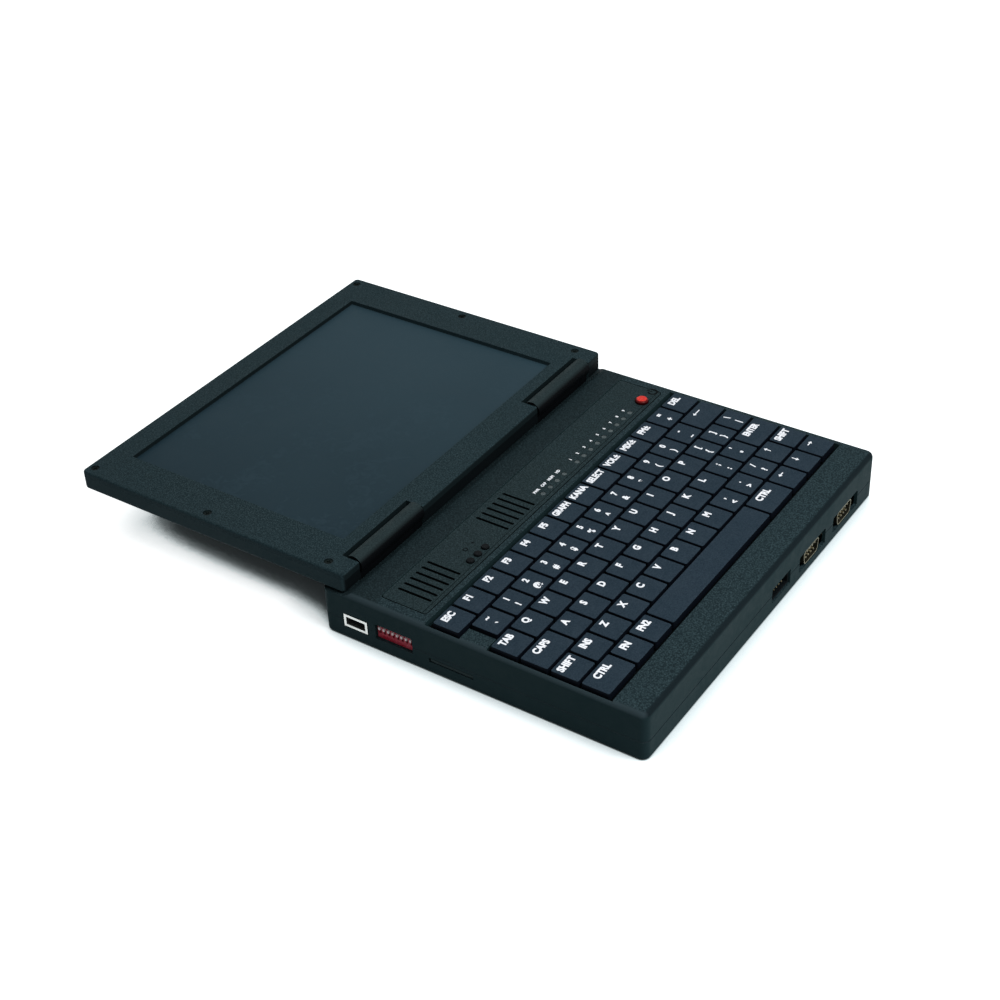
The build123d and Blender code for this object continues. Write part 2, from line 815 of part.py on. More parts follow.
def dip_lever(y):
    # The lever at the top of its slot.
    face = base_left_x + case_wall
    top = base_bottom_z + dip_rise + dip_slot_rise + dip_slot_height / 2 - dip_lever_clearance
    half = dip_slot_width / 2 - dip_lever_clearance
    lever = block(face - dip_lever_reach, face + dip_slot_depth - dip_lever_clearance, y - half,
                  y + half, top - dip_lever_height, top)
    return fillet(lever.faces().sort_by(Axis.X)[0].edges(), dip_lever_clearance)


def card_slot():
    left = base_left_x + case_wall
    z = base_bottom_z + card_rise
    half_y = card_body_width / 2
    half_slot = card_slot_width / 2
    top = z + card_slot_height / 2 + card_body_wall
    body = block(left, left + card_body_depth, -card_from_hinge - half_y, -card_from_hinge + half_y,
                 board_top_z, top)
    body -= block(left - 1, left + card_body_depth - card_body_wall * 4,
                  -card_from_hinge - half_slot, -card_from_hinge + half_slot,
                  z - card_slot_height / 2, z + card_slot_height / 2)
    return body


def dsub_outline(grow):
    top = dsub_top_width / 2 + grow
    bottom = dsub_bottom_width / 2 + grow
    half = dsub_height / 2 + grow
    outline = Polygon((-bottom, -half), (bottom, -half), (top, half), (-top, half), align=None)
    return fillet(outline.vertices(), dsub_corner + grow)


def dsub_shell(x):
    rim_y = base_front_y + dsub_setback
    flange_y = rim_y + dsub_reach
    shell = front_extrusion(dsub_outline(0), x, flange_y, rim_y, port_z)
    flange_bottom = board_top_z
    flange_top = 2 * port_z - flange_bottom
    flange = block(x - dsub_flange_width / 2, x + dsub_flange_width / 2, flange_y,
                   flange_y + dsub_flange_thickness, flange_bottom, flange_top)
    bore = front_extrusion(dsub_outline(-dsub_wall), x, flange_y + 1 + dsub_flange_thickness,
                           rim_y - 1, port_z)
    return shell + flange - bore


def dsub_body(x):
    # The insulator behind the flange, with its face inside the metal shell.
    flange_back = base_front_y + dsub_setback + dsub_reach + dsub_flange_thickness
    half = dsub_top_width / 2
    height = port_z - board_top_z
    face = front_extrusion(dsub_outline(-dsub_wall), x, flange_back, flange_back - 1.5, port_z)
    return face + block(x - half, x + half, flange_back, flange_back + dsub_body_depth,
                        board_top_z, board_top_z + 2 * height)


def header_socket():
    x = base_right_x - header_inset
    front = base_front_y + header_setback
    half = header_width / 2
    body = block(x - half, x + half, front, front + header_depth, header_z - header_height / 2,
                 header_z + header_height / 2)
    body += block(x - half, x + half, base_front_y + case_wall, front + header_depth, board_top_z,
                  header_z)
    inner = half - header_wall
    body -= block(x - inner, x + inner, front - 1, front + header_cavity_depth,
                  header_z - header_height / 2 + header_wall, header_z + header_height / 2 - header_wall)
    return body


def port_pins():
    pins = []
    face = base_front_y + dsub_setback + dsub_reach + dsub_flange_thickness - 1.5
    for x in dsub_places():
        for count, z in ((5, port_z + dsub_row_pitch / 2), (4, port_z - dsub_row_pitch / 2)):
            for index in range(count):
                pin_x = x + (index - (count - 1) / 2) * dsub_pin_pitch
                pins.append(rod_y(pin_x, face - dsub_pin_reach, face, z, dsub_pin_radius))
    x = base_right_x - header_inset
    floor = base_front_y + header_setback + header_cavity_depth
    half = header_pin_size / 2
    for column in range(header_columns):
        pin_x = x + (column - (header_columns - 1) / 2) * header_pin_pitch
        for z in (header_z - header_pin_pitch / 2, header_z + header_pin_pitch / 2):
            pins.append(block(pin_x - half, pin_x + half, floor - header_pin_reach, floor,
                              z - half, z + half))
    return pins


def power_inlet():
    z = base_bottom_z + jack_rise
    back = base_back_y - case_wall
    half = jack_body_width / 2
    body = block(jack_x - half, jack_x + half, back - jack_body_depth, back, board_top_z, z + half)
    body += rod_y(jack_x, back - 1, base_back_y, z, jack_ring_radius)
    body -= rod_y(jack_x, back - jack_bore_depth, base_back_y + 1, z, jack_bore_radius)
    return body + rod_y(jack_x, back - jack_bore_depth - 1, back, z, jack_pin_radius)


def rubber_feet():
    feet = []
    for x, y in foot_places():
        foot = post(x, y, 0, base_bottom_z + foot_pocket, foot_radius)
        feet.append(chamfer(foot.faces().sort_by(Axis.Z)[0].edges(), foot_height / 4))
    return feet


def cross_slot(x, y, z, length, depth):
    # A cross drive cut down from z, or up from z for a negative depth.
    low = min(z, z - depth)
    high = max(z, z - depth)
    half = cross_slot_width / 2
    reach = length / 2
    return [block(x - half, x + half, y - reach, y + reach, low, high),
            block(x - reach, x + reach, y - half, y + half, low, high)]


def base_screws():
    screws = []
    for x, y in screw_places():
        head_bottom = base_bottom_z + screw_head_clearance
        head_top = base_bottom_z + screw_head_height + screw_head_clearance
        screw = post(x, y, head_bottom, head_top, screw_head_radius)
        screw += post(x, y, head_top, seam_z + screw_bite, screw_radius)
        screw -= cross_slot(x, y, head_bottom, 2.6, -cross_slot_depth)
        screws.append(screw)
    return screws


def barrel_spans():
    outer = notch_outer_x - barrel_end_gap
    inner = notch_inner_x + barrel_end_gap
    return [(-outer, -inner), (inner, outer)]


def hinge_barrels():
    barrels = []
    for x0, x1 in barrel_spans():
        barrel = rod_x(x0, x1, 0, axis_z, barrel_radius)
        barrel += block(x0, x1, -barrel_neck_front, barrel_neck_back, ledge_z, axis_z)
        barrel -= rod_x(x0 - 1, x1 + 1, 0, axis_z, pin_radius + pin_running_fit)
        barrels.append(barrel)
    return barrels


def hinge_pin_spans():
    spans = []
    for x0, x1 in ((-notch_outer_x, -notch_inner_x), (notch_inner_x, notch_outer_x)):
        spans.append((x0 - pin_grip, x1 + pin_grip))
    return spans


def hinge_pins():
    return [rod_x(x0, x1, 0, axis_z, pin_radius) for x0, x1 in hinge_pin_spans()]


def lid_cuts():
    # The notches that clear the barrels, and the bores that grip the pins.
    cuts = []
    for x0, x1 in ((-notch_outer_x, -notch_inner_x), (notch_inner_x, notch_outer_x)):
        cuts.append(block(x0, x1, lid_near_y - 1, notch_back_y, lid_outer_z - 1, lid_inner_z + 1))
    for x0, x1 in hinge_pin_spans():
        cuts.append(rod_x(x0, x1, 0, axis_z, pin_radius + pin_fit))
    return cuts


def lid_screw_places():
    x = lid_half_width - lid_screw_side
    near = lid_near_y + lid_screw_near
    far = lid_far_y - lid_screw_far
    return [(side * x, y) for side in (-1, 1) for y in (near, (near + far) / 2, far)]


def lid_back_cover():
    cover = rounded_slab(-lid_half_width, lid_half_width, lid_near_y, lid_far_y, lid_outer_z, axis_z,
                         lid_corner_radius)
    cover = fillet(cover.faces().sort_by(Axis.Z)[0].edges(),
                   edge_round(lid_outer_edge, lid_corner_radius))
    inner_x = lid_half_width - lid_wall
    inner_radius = inner_corner(lid_corner_radius, lid_wall)
    cover -= rounded_slab(-inner_x, inner_x, strip_back_y, lid_far_y - lid_wall,
                          lid_outer_z + lid_wall, axis_z + 1, inner_radius)
    floor = lid_outer_z + lid_wall
    for x, y in lid_screw_places():
        cover += post(x, y, floor - lid_wall / 2, axis_z, lid_boss_radius)
    rib_x = opening_half_width + display_lap - display_rib_width
    for x in (-rib_x, rib_x - display_rib_width):
        cover += block(x, x + display_rib_width, opening_near_y, opening_far_y, floor - lid_wall / 2,
                       display_back_z)
    screw_end = lid_inner_z - lid_screw_recess - lid_screw_head_height - lid_screw_length
    for x, y in lid_screw_places():
        cover -= post(x, y, screw_end, axis_z + 1, lid_screw_radius)
    return cover - lid_cuts()


def lid_bezel():
    bezel = rounded_slab(-lid_half_width, lid_half_width, lid_near_y, lid_far_y, axis_z, lid_inner_z,
                         lid_corner_radius)
    bezel = fillet(bezel.faces().sort_by(Axis.Z)[-1].edges(),
                   edge_round(lid_inner_edge, lid_corner_radius))
    inner_x = lid_half_width - lid_wall
    bezel -= rounded_slab(-inner_x, inner_x, strip_back_y, lid_far_y - lid_wall, axis_z - 1,
                          bezel_plate_z, inner_corner(lid_corner_radius, lid_wall))
    for x, y in lid_screw_places():
        bezel += post(x, y, axis_z, bezel_plate_z + lid_wall / 2, lid_boss_radius)
    bezel -= block(-opening_half_width, opening_half_width, opening_near_y, opening_far_y,
                   axis_z - 1, lid_inner_z + 1)
    head_bottom = lid_inner_z - lid_screw_recess - lid_screw_head_height
    for x, y in lid_screw_places():
        bezel -= post(x, y, axis_z - 1, lid_inner_z + 1, lid_screw_radius)
        bezel -= post(x, y, head_bottom, lid_inner_z + 1, lid_screw_head_radius + screw_head_clearance)
    return bezel - lid_cuts()


def lid_screws():
    screws = []
    for x, y in lid_screw_places():
        head_top = lid_inner_z - lid_screw_recess
        head_bottom = head_top - lid_screw_head_height
        screw = post(x, y, head_bottom, head_top, lid_screw_head_radius)
        screw += post(x, y, head_bottom - lid_screw_length, head_bottom, lid_screw_radius)
        screw -= cross_slot(x, y, head_top, 2.4, cross_slot_depth)
        screws.append(screw)
    return screws


def display_glass():
    # The glass lies on the panel and reaches a little way behind the bezel's plate.
    half = opening_half_width + glass_lap
    return block(-half, half, opening_near_y - glass_lap, opening_far_y + glass_lap, glass_bottom_z,
                 bezel_plate_z)


def display_panel():
    # The panel lies behind the bezel's plate, on the cover's two ribs.
    half = opening_half_width + display_lap
    near = opening_near_y - display_lap / 2
    far = opening_far_y + display_lap
    return block(-half, half, near, far, display_back_z, glass_bottom_z)


def display_driver_board():
    floor = lid_outer_z + lid_wall
    middle = (opening_near_y + opening_far_y) / 2
    half_x = driver_board_length / 2
    half_y = driver_board_width / 2
    return block(-half_x, half_x, middle - half_y, middle + half_y, floor,
                 floor + driver_board_thickness)


os.makedirs("parts", exist_ok=True)

frame, membrane, backplate = keyboard_frame()
save("base_bottom_shell", base_bottom_shell())
save("base_top_shell", base_top_shell())
save("control_panel", control_panel())
save("control_board", control_board())
save("status_lights", status_lights())
save("speakers", speakers())
save("keyboard_frame", frame)
save("keyboard_membrane", membrane)
save("keyboard_backplate", backplate)
save("mainboard", mainboard())
save("battery_pack", battery_pack())
save("usb_shell", usb_shell())
save("dip_switch_body", dip_switch_body())
save("card_slot", card_slot())
save("dsub_shells", [dsub_shell(x) for x in dsub_places()])
save("connector_bodies", [dsub_body(x) for x in dsub_places()] + [header_socket(), usb_tongue()])
save("port_pins", port_pins())
save("power_inlet", power_inlet())
save("rubber_feet", rubber_feet())
save("base_screws", base_screws())
save("hinge_barrels", hinge_barrels())
save("power_button", button_stack(power_button_x, power_button_radius, power_button_rise, power_button_crown,
                                  power_button_travel))
for index, x in enumerate(small_button_places()):
    save(f"small_button_{index + 1}", button_stack(x, small_button_radius, small_button_rise, small_button_crown,
                                                   small_button_travel))
for index, y in enumerate(dip_lever_places()):
    save(f"dip_lever_{index + 1}", dip_lever(y))
for piece, caps in keys_by_piece().items():
    save(piece, caps)
save("lid_back_cover", lid_back_cover())
save("lid_bezel", lid_bezel())
save("lid_screws", lid_screws())
save("display_glass", display_glass())
save("display_panel", display_panel())
save("display_driver_board", display_driver_board())
save("hinge_pins", hinge_pins())
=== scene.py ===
import bpy
import bmesh
import math
from mathutils import Matrix, Vector


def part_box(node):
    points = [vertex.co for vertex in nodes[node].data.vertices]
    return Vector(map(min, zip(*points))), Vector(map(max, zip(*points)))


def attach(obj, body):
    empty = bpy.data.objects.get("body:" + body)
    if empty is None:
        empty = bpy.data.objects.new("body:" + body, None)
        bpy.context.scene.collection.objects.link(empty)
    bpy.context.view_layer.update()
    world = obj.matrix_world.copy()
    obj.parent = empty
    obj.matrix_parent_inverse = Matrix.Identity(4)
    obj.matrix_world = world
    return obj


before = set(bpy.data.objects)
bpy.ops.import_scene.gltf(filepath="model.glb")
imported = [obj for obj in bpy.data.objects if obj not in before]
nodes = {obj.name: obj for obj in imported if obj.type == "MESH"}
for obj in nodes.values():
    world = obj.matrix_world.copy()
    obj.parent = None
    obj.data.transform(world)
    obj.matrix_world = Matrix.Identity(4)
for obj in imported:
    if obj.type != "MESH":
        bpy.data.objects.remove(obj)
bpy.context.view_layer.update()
print("laptop loaded:", len(nodes), "pieces")


def addObject(name, data):
    thing = bpy.data.objects.new(name, data)
    bpy.context.scene.collection.objects.link(thing)
    return thing


# The camera stands where the photograph was taken from.
viewSetup = {
    "place": (-0.610724, -0.446738, 0.552565),  # metres
    "turn": (54.1320, 2.2507, -56.2697),  # degrees
    "lens": 65.516, "sensorWidth": 36.0,  # mm
    "nearest": 0.01,  # metres
}


def makeCamera(setup):
    data = bpy.data.cameras.new("photoCamera")
    data.lens = setup["lens"]
    data.sensor_width = setup["sensorWidth"]
    data.clip_start = setup["nearest"]
    camera = addObject("photoCamera", data)
    camera.location = setup["place"]
    camera.rotation_euler = [math.radians(angle) for angle in setup["turn"]]
    bpy.context.scene.camera = camera


makeCamera(viewSetup)
bpy.context.scene.view_settings.view_transform = "Standard"
print("camera set")


def colour(red, green, blue):
    # A colour as it is seen on screen, from 0 to 255, as Blender's linear colour.
    linear = []
    for value in (red, green, blue):
        share = value / 255
        linear.append(share / 12.92 if share <= 0.04045 else ((share + 0.055) / 1.055) ** 2.4)
    return (*linear, 1.0)


def addNode(tree, kind, place, inputs=None, **settings):
    node = tree.nodes.new(kind)
    node.location = (place[0] * 200, place[1] * -220)
    for name, value in settings.items():
        setattr(node, name, value)
    for name, value in (inputs or {}).items():
        if isinstance(value, bpy.types.NodeSocket):
            tree.links.new(value, node.inputs[name])
        else:
            node.inputs[name].default_value = value
    return node


def rescale(tree, value, place, low, high, newLow, newHigh):
    node = addNode(tree, "ShaderNodeMapRange", place, {
        "Value": value, "From Min": low, "From Max": high, "To Min": newLow, "To Max": newHigh})
    return node.outputs["Result"]


def mixColours(tree, factor, first, second, place):
    node = addNode(tree, "ShaderNodeMix", place, data_type="RGBA")
    for index, value in ((0, factor), (6, first), (7, second)):
        if isinstance(value, bpy.types.NodeSocket):
            tree.links.new(value, node.inputs[index])
        else:
            node.inputs[index].default_value = value
    return node.outputs[2]


def newGroup(name, inputs, outputs):
    # inputs: name -> start value; outputs: name -> socket type.
    tree = bpy.data.node_groups.new(name, "ShaderNodeTree")
    for label, value in inputs.items():
        socket = tree.interface.new_socket(label, in_out="INPUT", socket_type="NodeSocketFloat")
        socket.default_value = value
    for label, kind in outputs.items():
        tree.interface.new_socket(label, in_out="OUTPUT", socket_type=kind)
    return tree


def makeMouldGrain():
    # Spark-eroded mould texture: rounded pips under a millimetre across, paler on top. It is coarse
    # on level faces and almost polished on upright walls.
    tree = newGroup("mouldGrain", {"Scale": 1100.0, "Contrast": 1.0, "Walls": 0.3},
                    {"Tone": "NodeSocketFloat", "Height": "NodeSocketFloat"})
    start = addNode(tree, "NodeGroupInput", (0, 0))
    place = addNode(tree, "ShaderNodeTexCoord", (0, 1))
    fine = addNode(tree, "ShaderNodeTexNoise", (1, 0), {
        "Vector": place.outputs["Object"], "Scale": start.outputs["Scale"], "Detail": 2.0,
        "Roughness": 0.7})
    pips = addNode(tree, "ShaderNodeTexVoronoi", (1, 1), {
        "Vector": place.outputs["Object"], "Scale": start.outputs["Scale"]},
        feature="SMOOTH_F1")
    pipTops = rescale(tree, pips.outputs["Distance"], (2, 1), 0.0, 0.8, 1.0, 0.0)
    blended = addNode(tree, "ShaderNodeMath", (3, 0), {0: fine.outputs["Fac"], 1: pipTops},
                      operation="MULTIPLY")
    facing = addNode(tree, "ShaderNodeSeparateXYZ", (1, 3), {"Vector": place.outputs["Normal"]})
    level = addNode(tree, "ShaderNodeMath", (2, 3), {0: facing.outputs["Z"]}, operation="ABSOLUTE")
    coarse = addNode(tree, "ShaderNodeMapRange", (3, 3), {
        "Value": level.outputs[0], "From Min": 0.6, "From Max": 0.97,
        "To Min": start.outputs["Walls"], "To Max": 1.0})
    centred = addNode(tree, "ShaderNodeMath", (4, 1), {0: blended.outputs[0], 1: 0.3},
                      operation="SUBTRACT")
    scaled = addNode(tree, "ShaderNodeMath", (5, 1), {
        0: centred.outputs[0], 1: coarse.outputs["Result"]}, operation="MULTIPLY")
    strong = addNode(tree, "ShaderNodeMath", (6, 1), {
        0: scaled.outputs[0], 1: start.outputs["Contrast"]}, operation="MULTIPLY")
    tone = rescale(tree, strong.outputs[0], (7, 1), -0.15, 0.2, 0.0, 1.0)
    height = addNode(tree, "ShaderNodeMath", (5, 0), {
        0: blended.outputs[0], 1: coarse.outputs["Result"]}, operation="MULTIPLY")
    addNode(tree, "NodeGroupOutput", (8, 0), {"Tone": tone, "Height": height.outputs[0]})
    return tree


def makeFaceMasks():
    # Which way a face looks, for painting light into colours: the rounded front and left edges, the
    # front walls, all upright walls, the rounded shoulder of a button, and the strip beside the
    # hinge, which takes painted shade.
    masks = ("FrontEdge", "LeftEdge", "FrontWall", "Upright", "Shoulder", "HingeShade")
    tree = newGroup("lightAndShadeMasks", {"HingeFrom": -0.0222, "HingeTo": -0.019},
                    {mask: "NodeSocketFloat" for mask in masks})
    start = addNode(tree, "NodeGroupInput", (0, 4))
    place = addNode(tree, "ShaderNodeTexCoord", (0, 1))
    facing = addNode(tree, "ShaderNodeSeparateXYZ", (1, 1), {"Vector": place.outputs["Normal"]})
    front = addNode(tree, "ShaderNodeMath", (2, 0), {
        0: facing.outputs["Y"], 1: facing.outputs["Z"]}, operation="MULTIPLY")
    left = addNode(tree, "ShaderNodeMath", (2, 1), {
        0: facing.outputs["X"], 1: facing.outputs["Z"]}, operation="MULTIPLY")
    where = addNode(tree, "ShaderNodeSeparateXYZ", (1, 3), {"Vector": place.outputs["Object"]})
    near = addNode(tree, "ShaderNodeMapRange", (2, 3), {
        "Value": where.outputs["Y"], "From Min": start.outputs["HingeFrom"],
        "From Max": start.outputs["HingeTo"], "To Min": 0.0, "To Max": 1.0})
    top = rescale(tree, facing.outputs["Z"], (2, 4), 0.7, 0.95, 0.0, 1.0)
    level = addNode(tree, "ShaderNodeMath", (2, 5), {0: facing.outputs["Z"]}, operation="ABSOLUTE")
    hinge = addNode(tree, "ShaderNodeMath", (3, 3), {0: near.outputs["Result"], 1: top},
                    operation="MULTIPLY")
    addNode(tree, "NodeGroupOutput", (4, 0), {
        "FrontEdge": rescale(tree, front.outputs[0], (3, 0), -0.12, -0.4, 0.0, 1.0),
        "LeftEdge": rescale(tree, left.outputs[0], (3, 1), -0.12, -0.4, 0.0, 1.0),
        "FrontWall": rescale(tree, facing.outputs["Y"], (3, 2), -0.6, -0.9, 0.0, 1.0),
        "Upright": rescale(tree, level.outputs[0], (3, 5), 0.55, 0.2, 0.0, 1.0),
        "Shoulder": rescale(tree, level.outputs[0], (3, 6), 0.985, 0.9, 0.0, 1.0),
        "HingeShade": hinge.outputs[0]})
    return tree


def makeEdgeWear():
    # Finds edges by comparing the true normal with a rounded one, broken up by noise.
    tree = newGroup("edgeWearAndGlint", {"Radius": 0.0006, "Amount": 0.5}, {"Mask": "NodeSocketFloat"})
    start = addNode(tree, "NodeGroupInput", (0, 0))
    place = addNode(tree, "ShaderNodeTexCoord", (0, 2))
    rounded = addNode(tree, "ShaderNodeBevel", (1, 0), {"Radius": start.outputs["Radius"]},
                      samples=4)
    geometry = addNode(tree, "ShaderNodeNewGeometry", (1, 1))
    alike = addNode(tree, "ShaderNodeVectorMath", (2, 0), {
        0: rounded.outputs["Normal"], 1: geometry.outputs["Normal"]}, operation="DOT_PRODUCT")
    edge = rescale(tree, alike.outputs["Value"], (3, 0), 0.99, 0.8, 0.0, 1.0)
    patches = addNode(tree, "ShaderNodeTexNoise", (2, 2), {
        "Vector": place.outputs["Object"], "Scale": 160.0, "Detail": 5.0, "Roughness": 0.65})
    broken = rescale(tree, patches.outputs["Fac"], (3, 2), 0.4, 0.65, 0.2, 1.0)
    both = addNode(tree, "ShaderNodeMath", (4, 0), {0: edge, 1: broken}, operation="MULTIPLY")
    mask = addNode(tree, "ShaderNodeMath", (5, 0), {0: both.outputs[0], 1: start.outputs["Amount"]},
                   operation="MULTIPLY", use_clamp=True)
    addNode(tree, "NodeGroupOutput", (6, 0), {"Mask": mask.outputs[0]})
    return tree


def makeHandling():
    # Faint cloudy marks that hands leave, with a few finer smears in them.
    tree = newGroup("handling", {"Scale": 22.0}, {"Marks": "NodeSocketFloat"})
    start = addNode(tree, "NodeGroupInput", (0, 0))
    place = addNode(tree, "ShaderNodeTexCoord", (0, 1))
    clouds = addNode(tree, "ShaderNodeTexNoise", (1, 0), {
        "Vector": place.outputs["Object"], "Scale": start.outputs["Scale"], "Detail": 4.0,
        "Distortion": 0.4})
    smears = addNode(tree, "ShaderNodeTexNoise", (1, 1), {
        "Vector": place.outputs["Object"], "Scale": 190.0, "Detail": 5.0, "Distortion": 1.2})
    both = addNode(tree, "ShaderNodeMath", (2, 0), {
        0: clouds.outputs["Fac"], 1: smears.outputs["Fac"]}, operation="MULTIPLY")
    marks = rescale(tree, both.outputs[0], (3, 0), 0.15, 0.38, 0.0, 1.0)
    addNode(tree, "NodeGroupOutput", (4, 0), {"Marks": marks})
    return tree


mouldGrain = makeMouldGrain()
edgeWearAndGlint = makeEdgeWear()
handling = makeHandling()
lightAndShadeMasks = makeFaceMasks()
print("shared effects built")


def newMaterial(name):
    material = bpy.data.materials.new(name)
    material.use_nodes = True
    tree = material.node_tree
    tree.nodes.clear()
    return material, tree


def finishMaterial(tree, inputs, place):
    shader = addNode(tree, "ShaderNodeBsdfPrincipled", place, inputs)
    addNode(tree, "ShaderNodeOutputMaterial", (place[0] + 1.5, place[1]), {
        "Surface": shader.outputs["BSDF"]})


def placeGroup(tree, group, place, **inputs):
    node = addNode(tree, "ShaderNodeGroup", place, node_tree=group)
    for name, value in inputs.items():
        node.inputs[name].default_value = value
    return node


def makePlastic(name, look):
    material, tree = newMaterial(name)
    grain = placeGroup(tree, mouldGrain, (0, 0), Scale=look["grain"], Contrast=look["fleck"],
                       Walls=look["walls"])
    wearAndGlint = placeGroup(tree, edgeWearAndGlint, (0, 1), Radius=look["wearWidth"], Amount=look["wearAndGlint"])
    marks = placeGroup(tree, handling, (0, 2), Scale=look["marks"])
    faces = placeGroup(tree, lightAndShadeMasks, (0, 4))
    grained = mixColours(tree, grain.outputs["Tone"], colour(*look["dark"]),
                         colour(*look["pale"]), (1, 0))
    handled = mixColours(tree, rescale(tree, marks.outputs["Marks"], (1, 2), 0, 1, 0, look["film"]),
                         grained, colour(*look["filmAndSheenColour"]), (2, 0))
    sided = handled
    # The face masks mix in painted light: painted shade, and on the left edge a painted highlight.
    order = ("HingeShade", "Shoulder", "Upright", "FrontWall", "FrontEdge", "LeftEdge")
    for step, mask in enumerate(order):
        if mask in look["faces"]:
            amount, tint = look["faces"][mask]
            share = rescale(tree, faces.outputs[mask], (2, 2 + step), 0, 1, 0, amount)
            sided = mixColours(tree, share, sided, colour(*tint), (3, 2 + step))
    worn = mixColours(tree, wearAndGlint.outputs["Mask"], sided, colour(*look["wearAndGlintColour"]), (4, 0))
    roughness = rescale(tree, marks.outputs["Marks"], (3, 2), 0, 1,
                        look["rough"] - look["roughRange"], look["rough"] + look["roughRange"])
    bump = addNode(tree, "ShaderNodeBump", (3, 3), {
        "Height": grain.outputs["Height"], "Strength": look["bump"],
        "Distance": look["bumpHeight"]})
    finishMaterial(tree, {
        "Base Color": worn, "Roughness": roughness, "Normal": bump.outputs["Normal"],
        "Specular IOR Level": look["gloss"]}, (5, 0))
    return material


# Colours are from 0 to 255, lengths in metres, and faces holds mask: (amount, tint), each tint
# painted light laid on by which way a face looks.
plainLook = {
    "dark": (26, 36, 40), "pale": (50, 64, 68), "fleck": 1.0, "grain": 1500.0, "walls": 0.2,
    "bump": 0.3, "bumpHeight": 0.0002, "rough": 0.6, "roughRange": 0.06, "gloss": 0.03,
    "marks": 20.0, "film": 0.1, "filmAndSheenColour": (46, 62, 68), "faces": {},
    "wearAndGlint": 0.1, "wearWidth": 0.0005, "wearAndGlintColour": (66, 82, 86),
}
# The case's face tints are painted light: painted shade on the upright walls, the rounded front
# edge and the strip by the hinge, and a painted highlight on the rounded left edge.
caseLook = dict(
    plainLook, dark=(22, 35, 39), pale=(53, 71, 76), bump=0.35,
    faces={"FrontEdge": (0.95, (16, 26, 30)), "LeftEdge": (0.9, (48, 61, 66)),
           "Upright": (0.9, (29, 46, 49)), "HingeShade": (0.5, (16, 24, 25))})
# The front-facing walls of the bezel and the back cover are tinted dark: painted shade, darkest on
# the cover.
bezelLook = dict(
    plainLook, dark=(20, 35, 39), pale=(50, 67, 72), grain=1700.0, bump=0.15, walls=0.5,
    faces={"FrontWall": (0.95, (18, 27, 29))})
coverLook = dict(
    plainLook, dark=(24, 38, 42), pale=(50, 67, 71), grain=1700.0,
    faces={"FrontWall": (0.95, (6, 9, 11))})
# The control strip's upright walls are tinted near black: painted shade in its groove.
panelLook = dict(
    plainLook, dark=(22, 34, 36), pale=(50, 65, 69), grain=1700.0, bump=0.2,
    faces={"Upright": (0.95, (5, 8, 9))})
casePlastic = makePlastic("casePlastic", caseLook)
bezelPlastic = makePlastic("bezelPlastic", bezelLook)
coverPlastic = makePlastic("coverPlastic", coverLook)
panelPlastic = makePlastic("panelPlastic", panelLook)

blackLook = dict(
    plainLook, dark=(8, 11, 13), pale=(20, 24, 27), grain=1900.0, bump=0.25, rough=0.5,
    wearAndGlintColour=(40, 44, 48), filmAndSheenColour=(24, 28, 31))
blackPlastic = makePlastic("blackPlastic", blackLook)
# The card blank is case plastic painted paler than the case: painted light, so that it still shows
# in the slot's shade.
slotPlastic = makePlastic("slotPlastic", dict(blackLook, dark=(44, 56, 58), pale=(70, 84, 86)))

# On the red switch body the pale pink film patches and the pale pink worn edges are painted
# highlights.
redSwitchLook = dict(
    plainLook, dark=(140, 14, 36), pale=(196, 36, 62), grain=1400.0, bump=0.15, rough=0.35,
    gloss=0.1, wearAndGlintColour=(226, 130, 140), filmAndSheenColour=(214, 112, 126), film=0.45, marks=260.0,
    wearAndGlint=0.3)
redSwitch = makePlastic("redSwitch", redSwitchLook)

leverLook = dict(
    plainLook, dark=(248, 226, 228), pale=(255, 250, 248), grain=1800.0, bump=0.1, rough=0.4,
    gloss=0.1, wearAndGlintColour=(190, 160, 160), filmAndSheenColour=(200, 170, 176), wearAndGlint=0.2)
leverPlastic = makePlastic("leverPlastic", leverLook)

# The power button's dark red shoulder and sides are painted shade around its paler top.
redButtonLook = dict(
    plainLook, dark=(196, 40, 32), pale=(222, 72, 62), grain=1200.0, bump=0.08, rough=0.36,
    gloss=0.1, wearAndGlintColour=(226, 110, 96), filmAndSheenColour=(196, 56, 50), wearAndGlint=0.02,
    faces={"Shoulder": (0.95, (74, 5, 6)), "Upright": (0.95, (30, 2, 4))})
redButton = makePlastic("redButton", redButtonLook)

lightPipeLook = dict(
    plainLook, dark=(62, 72, 74), pale=(84, 95, 97), grain=1100.0, bump=0.1, rough=0.3, gloss=0.1,
    wearAndGlintColour=(88, 98, 100), filmAndSheenColour=(84, 94, 96))
lightPipe = makePlastic("lightPipe", lightPipeLook)

rubberLook = dict(
    plainLook, dark=(14, 14, 15), pale=(32, 32, 34), grain=900.0, rough=0.85, gloss=0.15,
    wearAndGlintColour=(58, 58, 60), filmAndSheenColour=(70, 70, 68), film=0.35)
footRubber = makePlastic("footRubber", rubberLook)

filmLook = dict(
    plainLook, dark=(176, 176, 168), pale=(204, 204, 198), grain=700.0, bump=0.05, rough=0.3,
    gloss=0.5, wearAndGlintColour=(220, 220, 214), filmAndSheenColour=(150, 150, 146))
membraneFilm = makePlastic("membraneFilm", filmLook)

batteryLook = dict(
    plainLook, dark=(16, 16, 19), pale=(34, 34, 38), grain=500.0, bump=0.12, rough=0.4,
    wearAndGlintColour=(70, 70, 76), filmAndSheenColour=(48, 48, 54))
batteryWrap = makePlastic("batteryWrap", batteryLook)

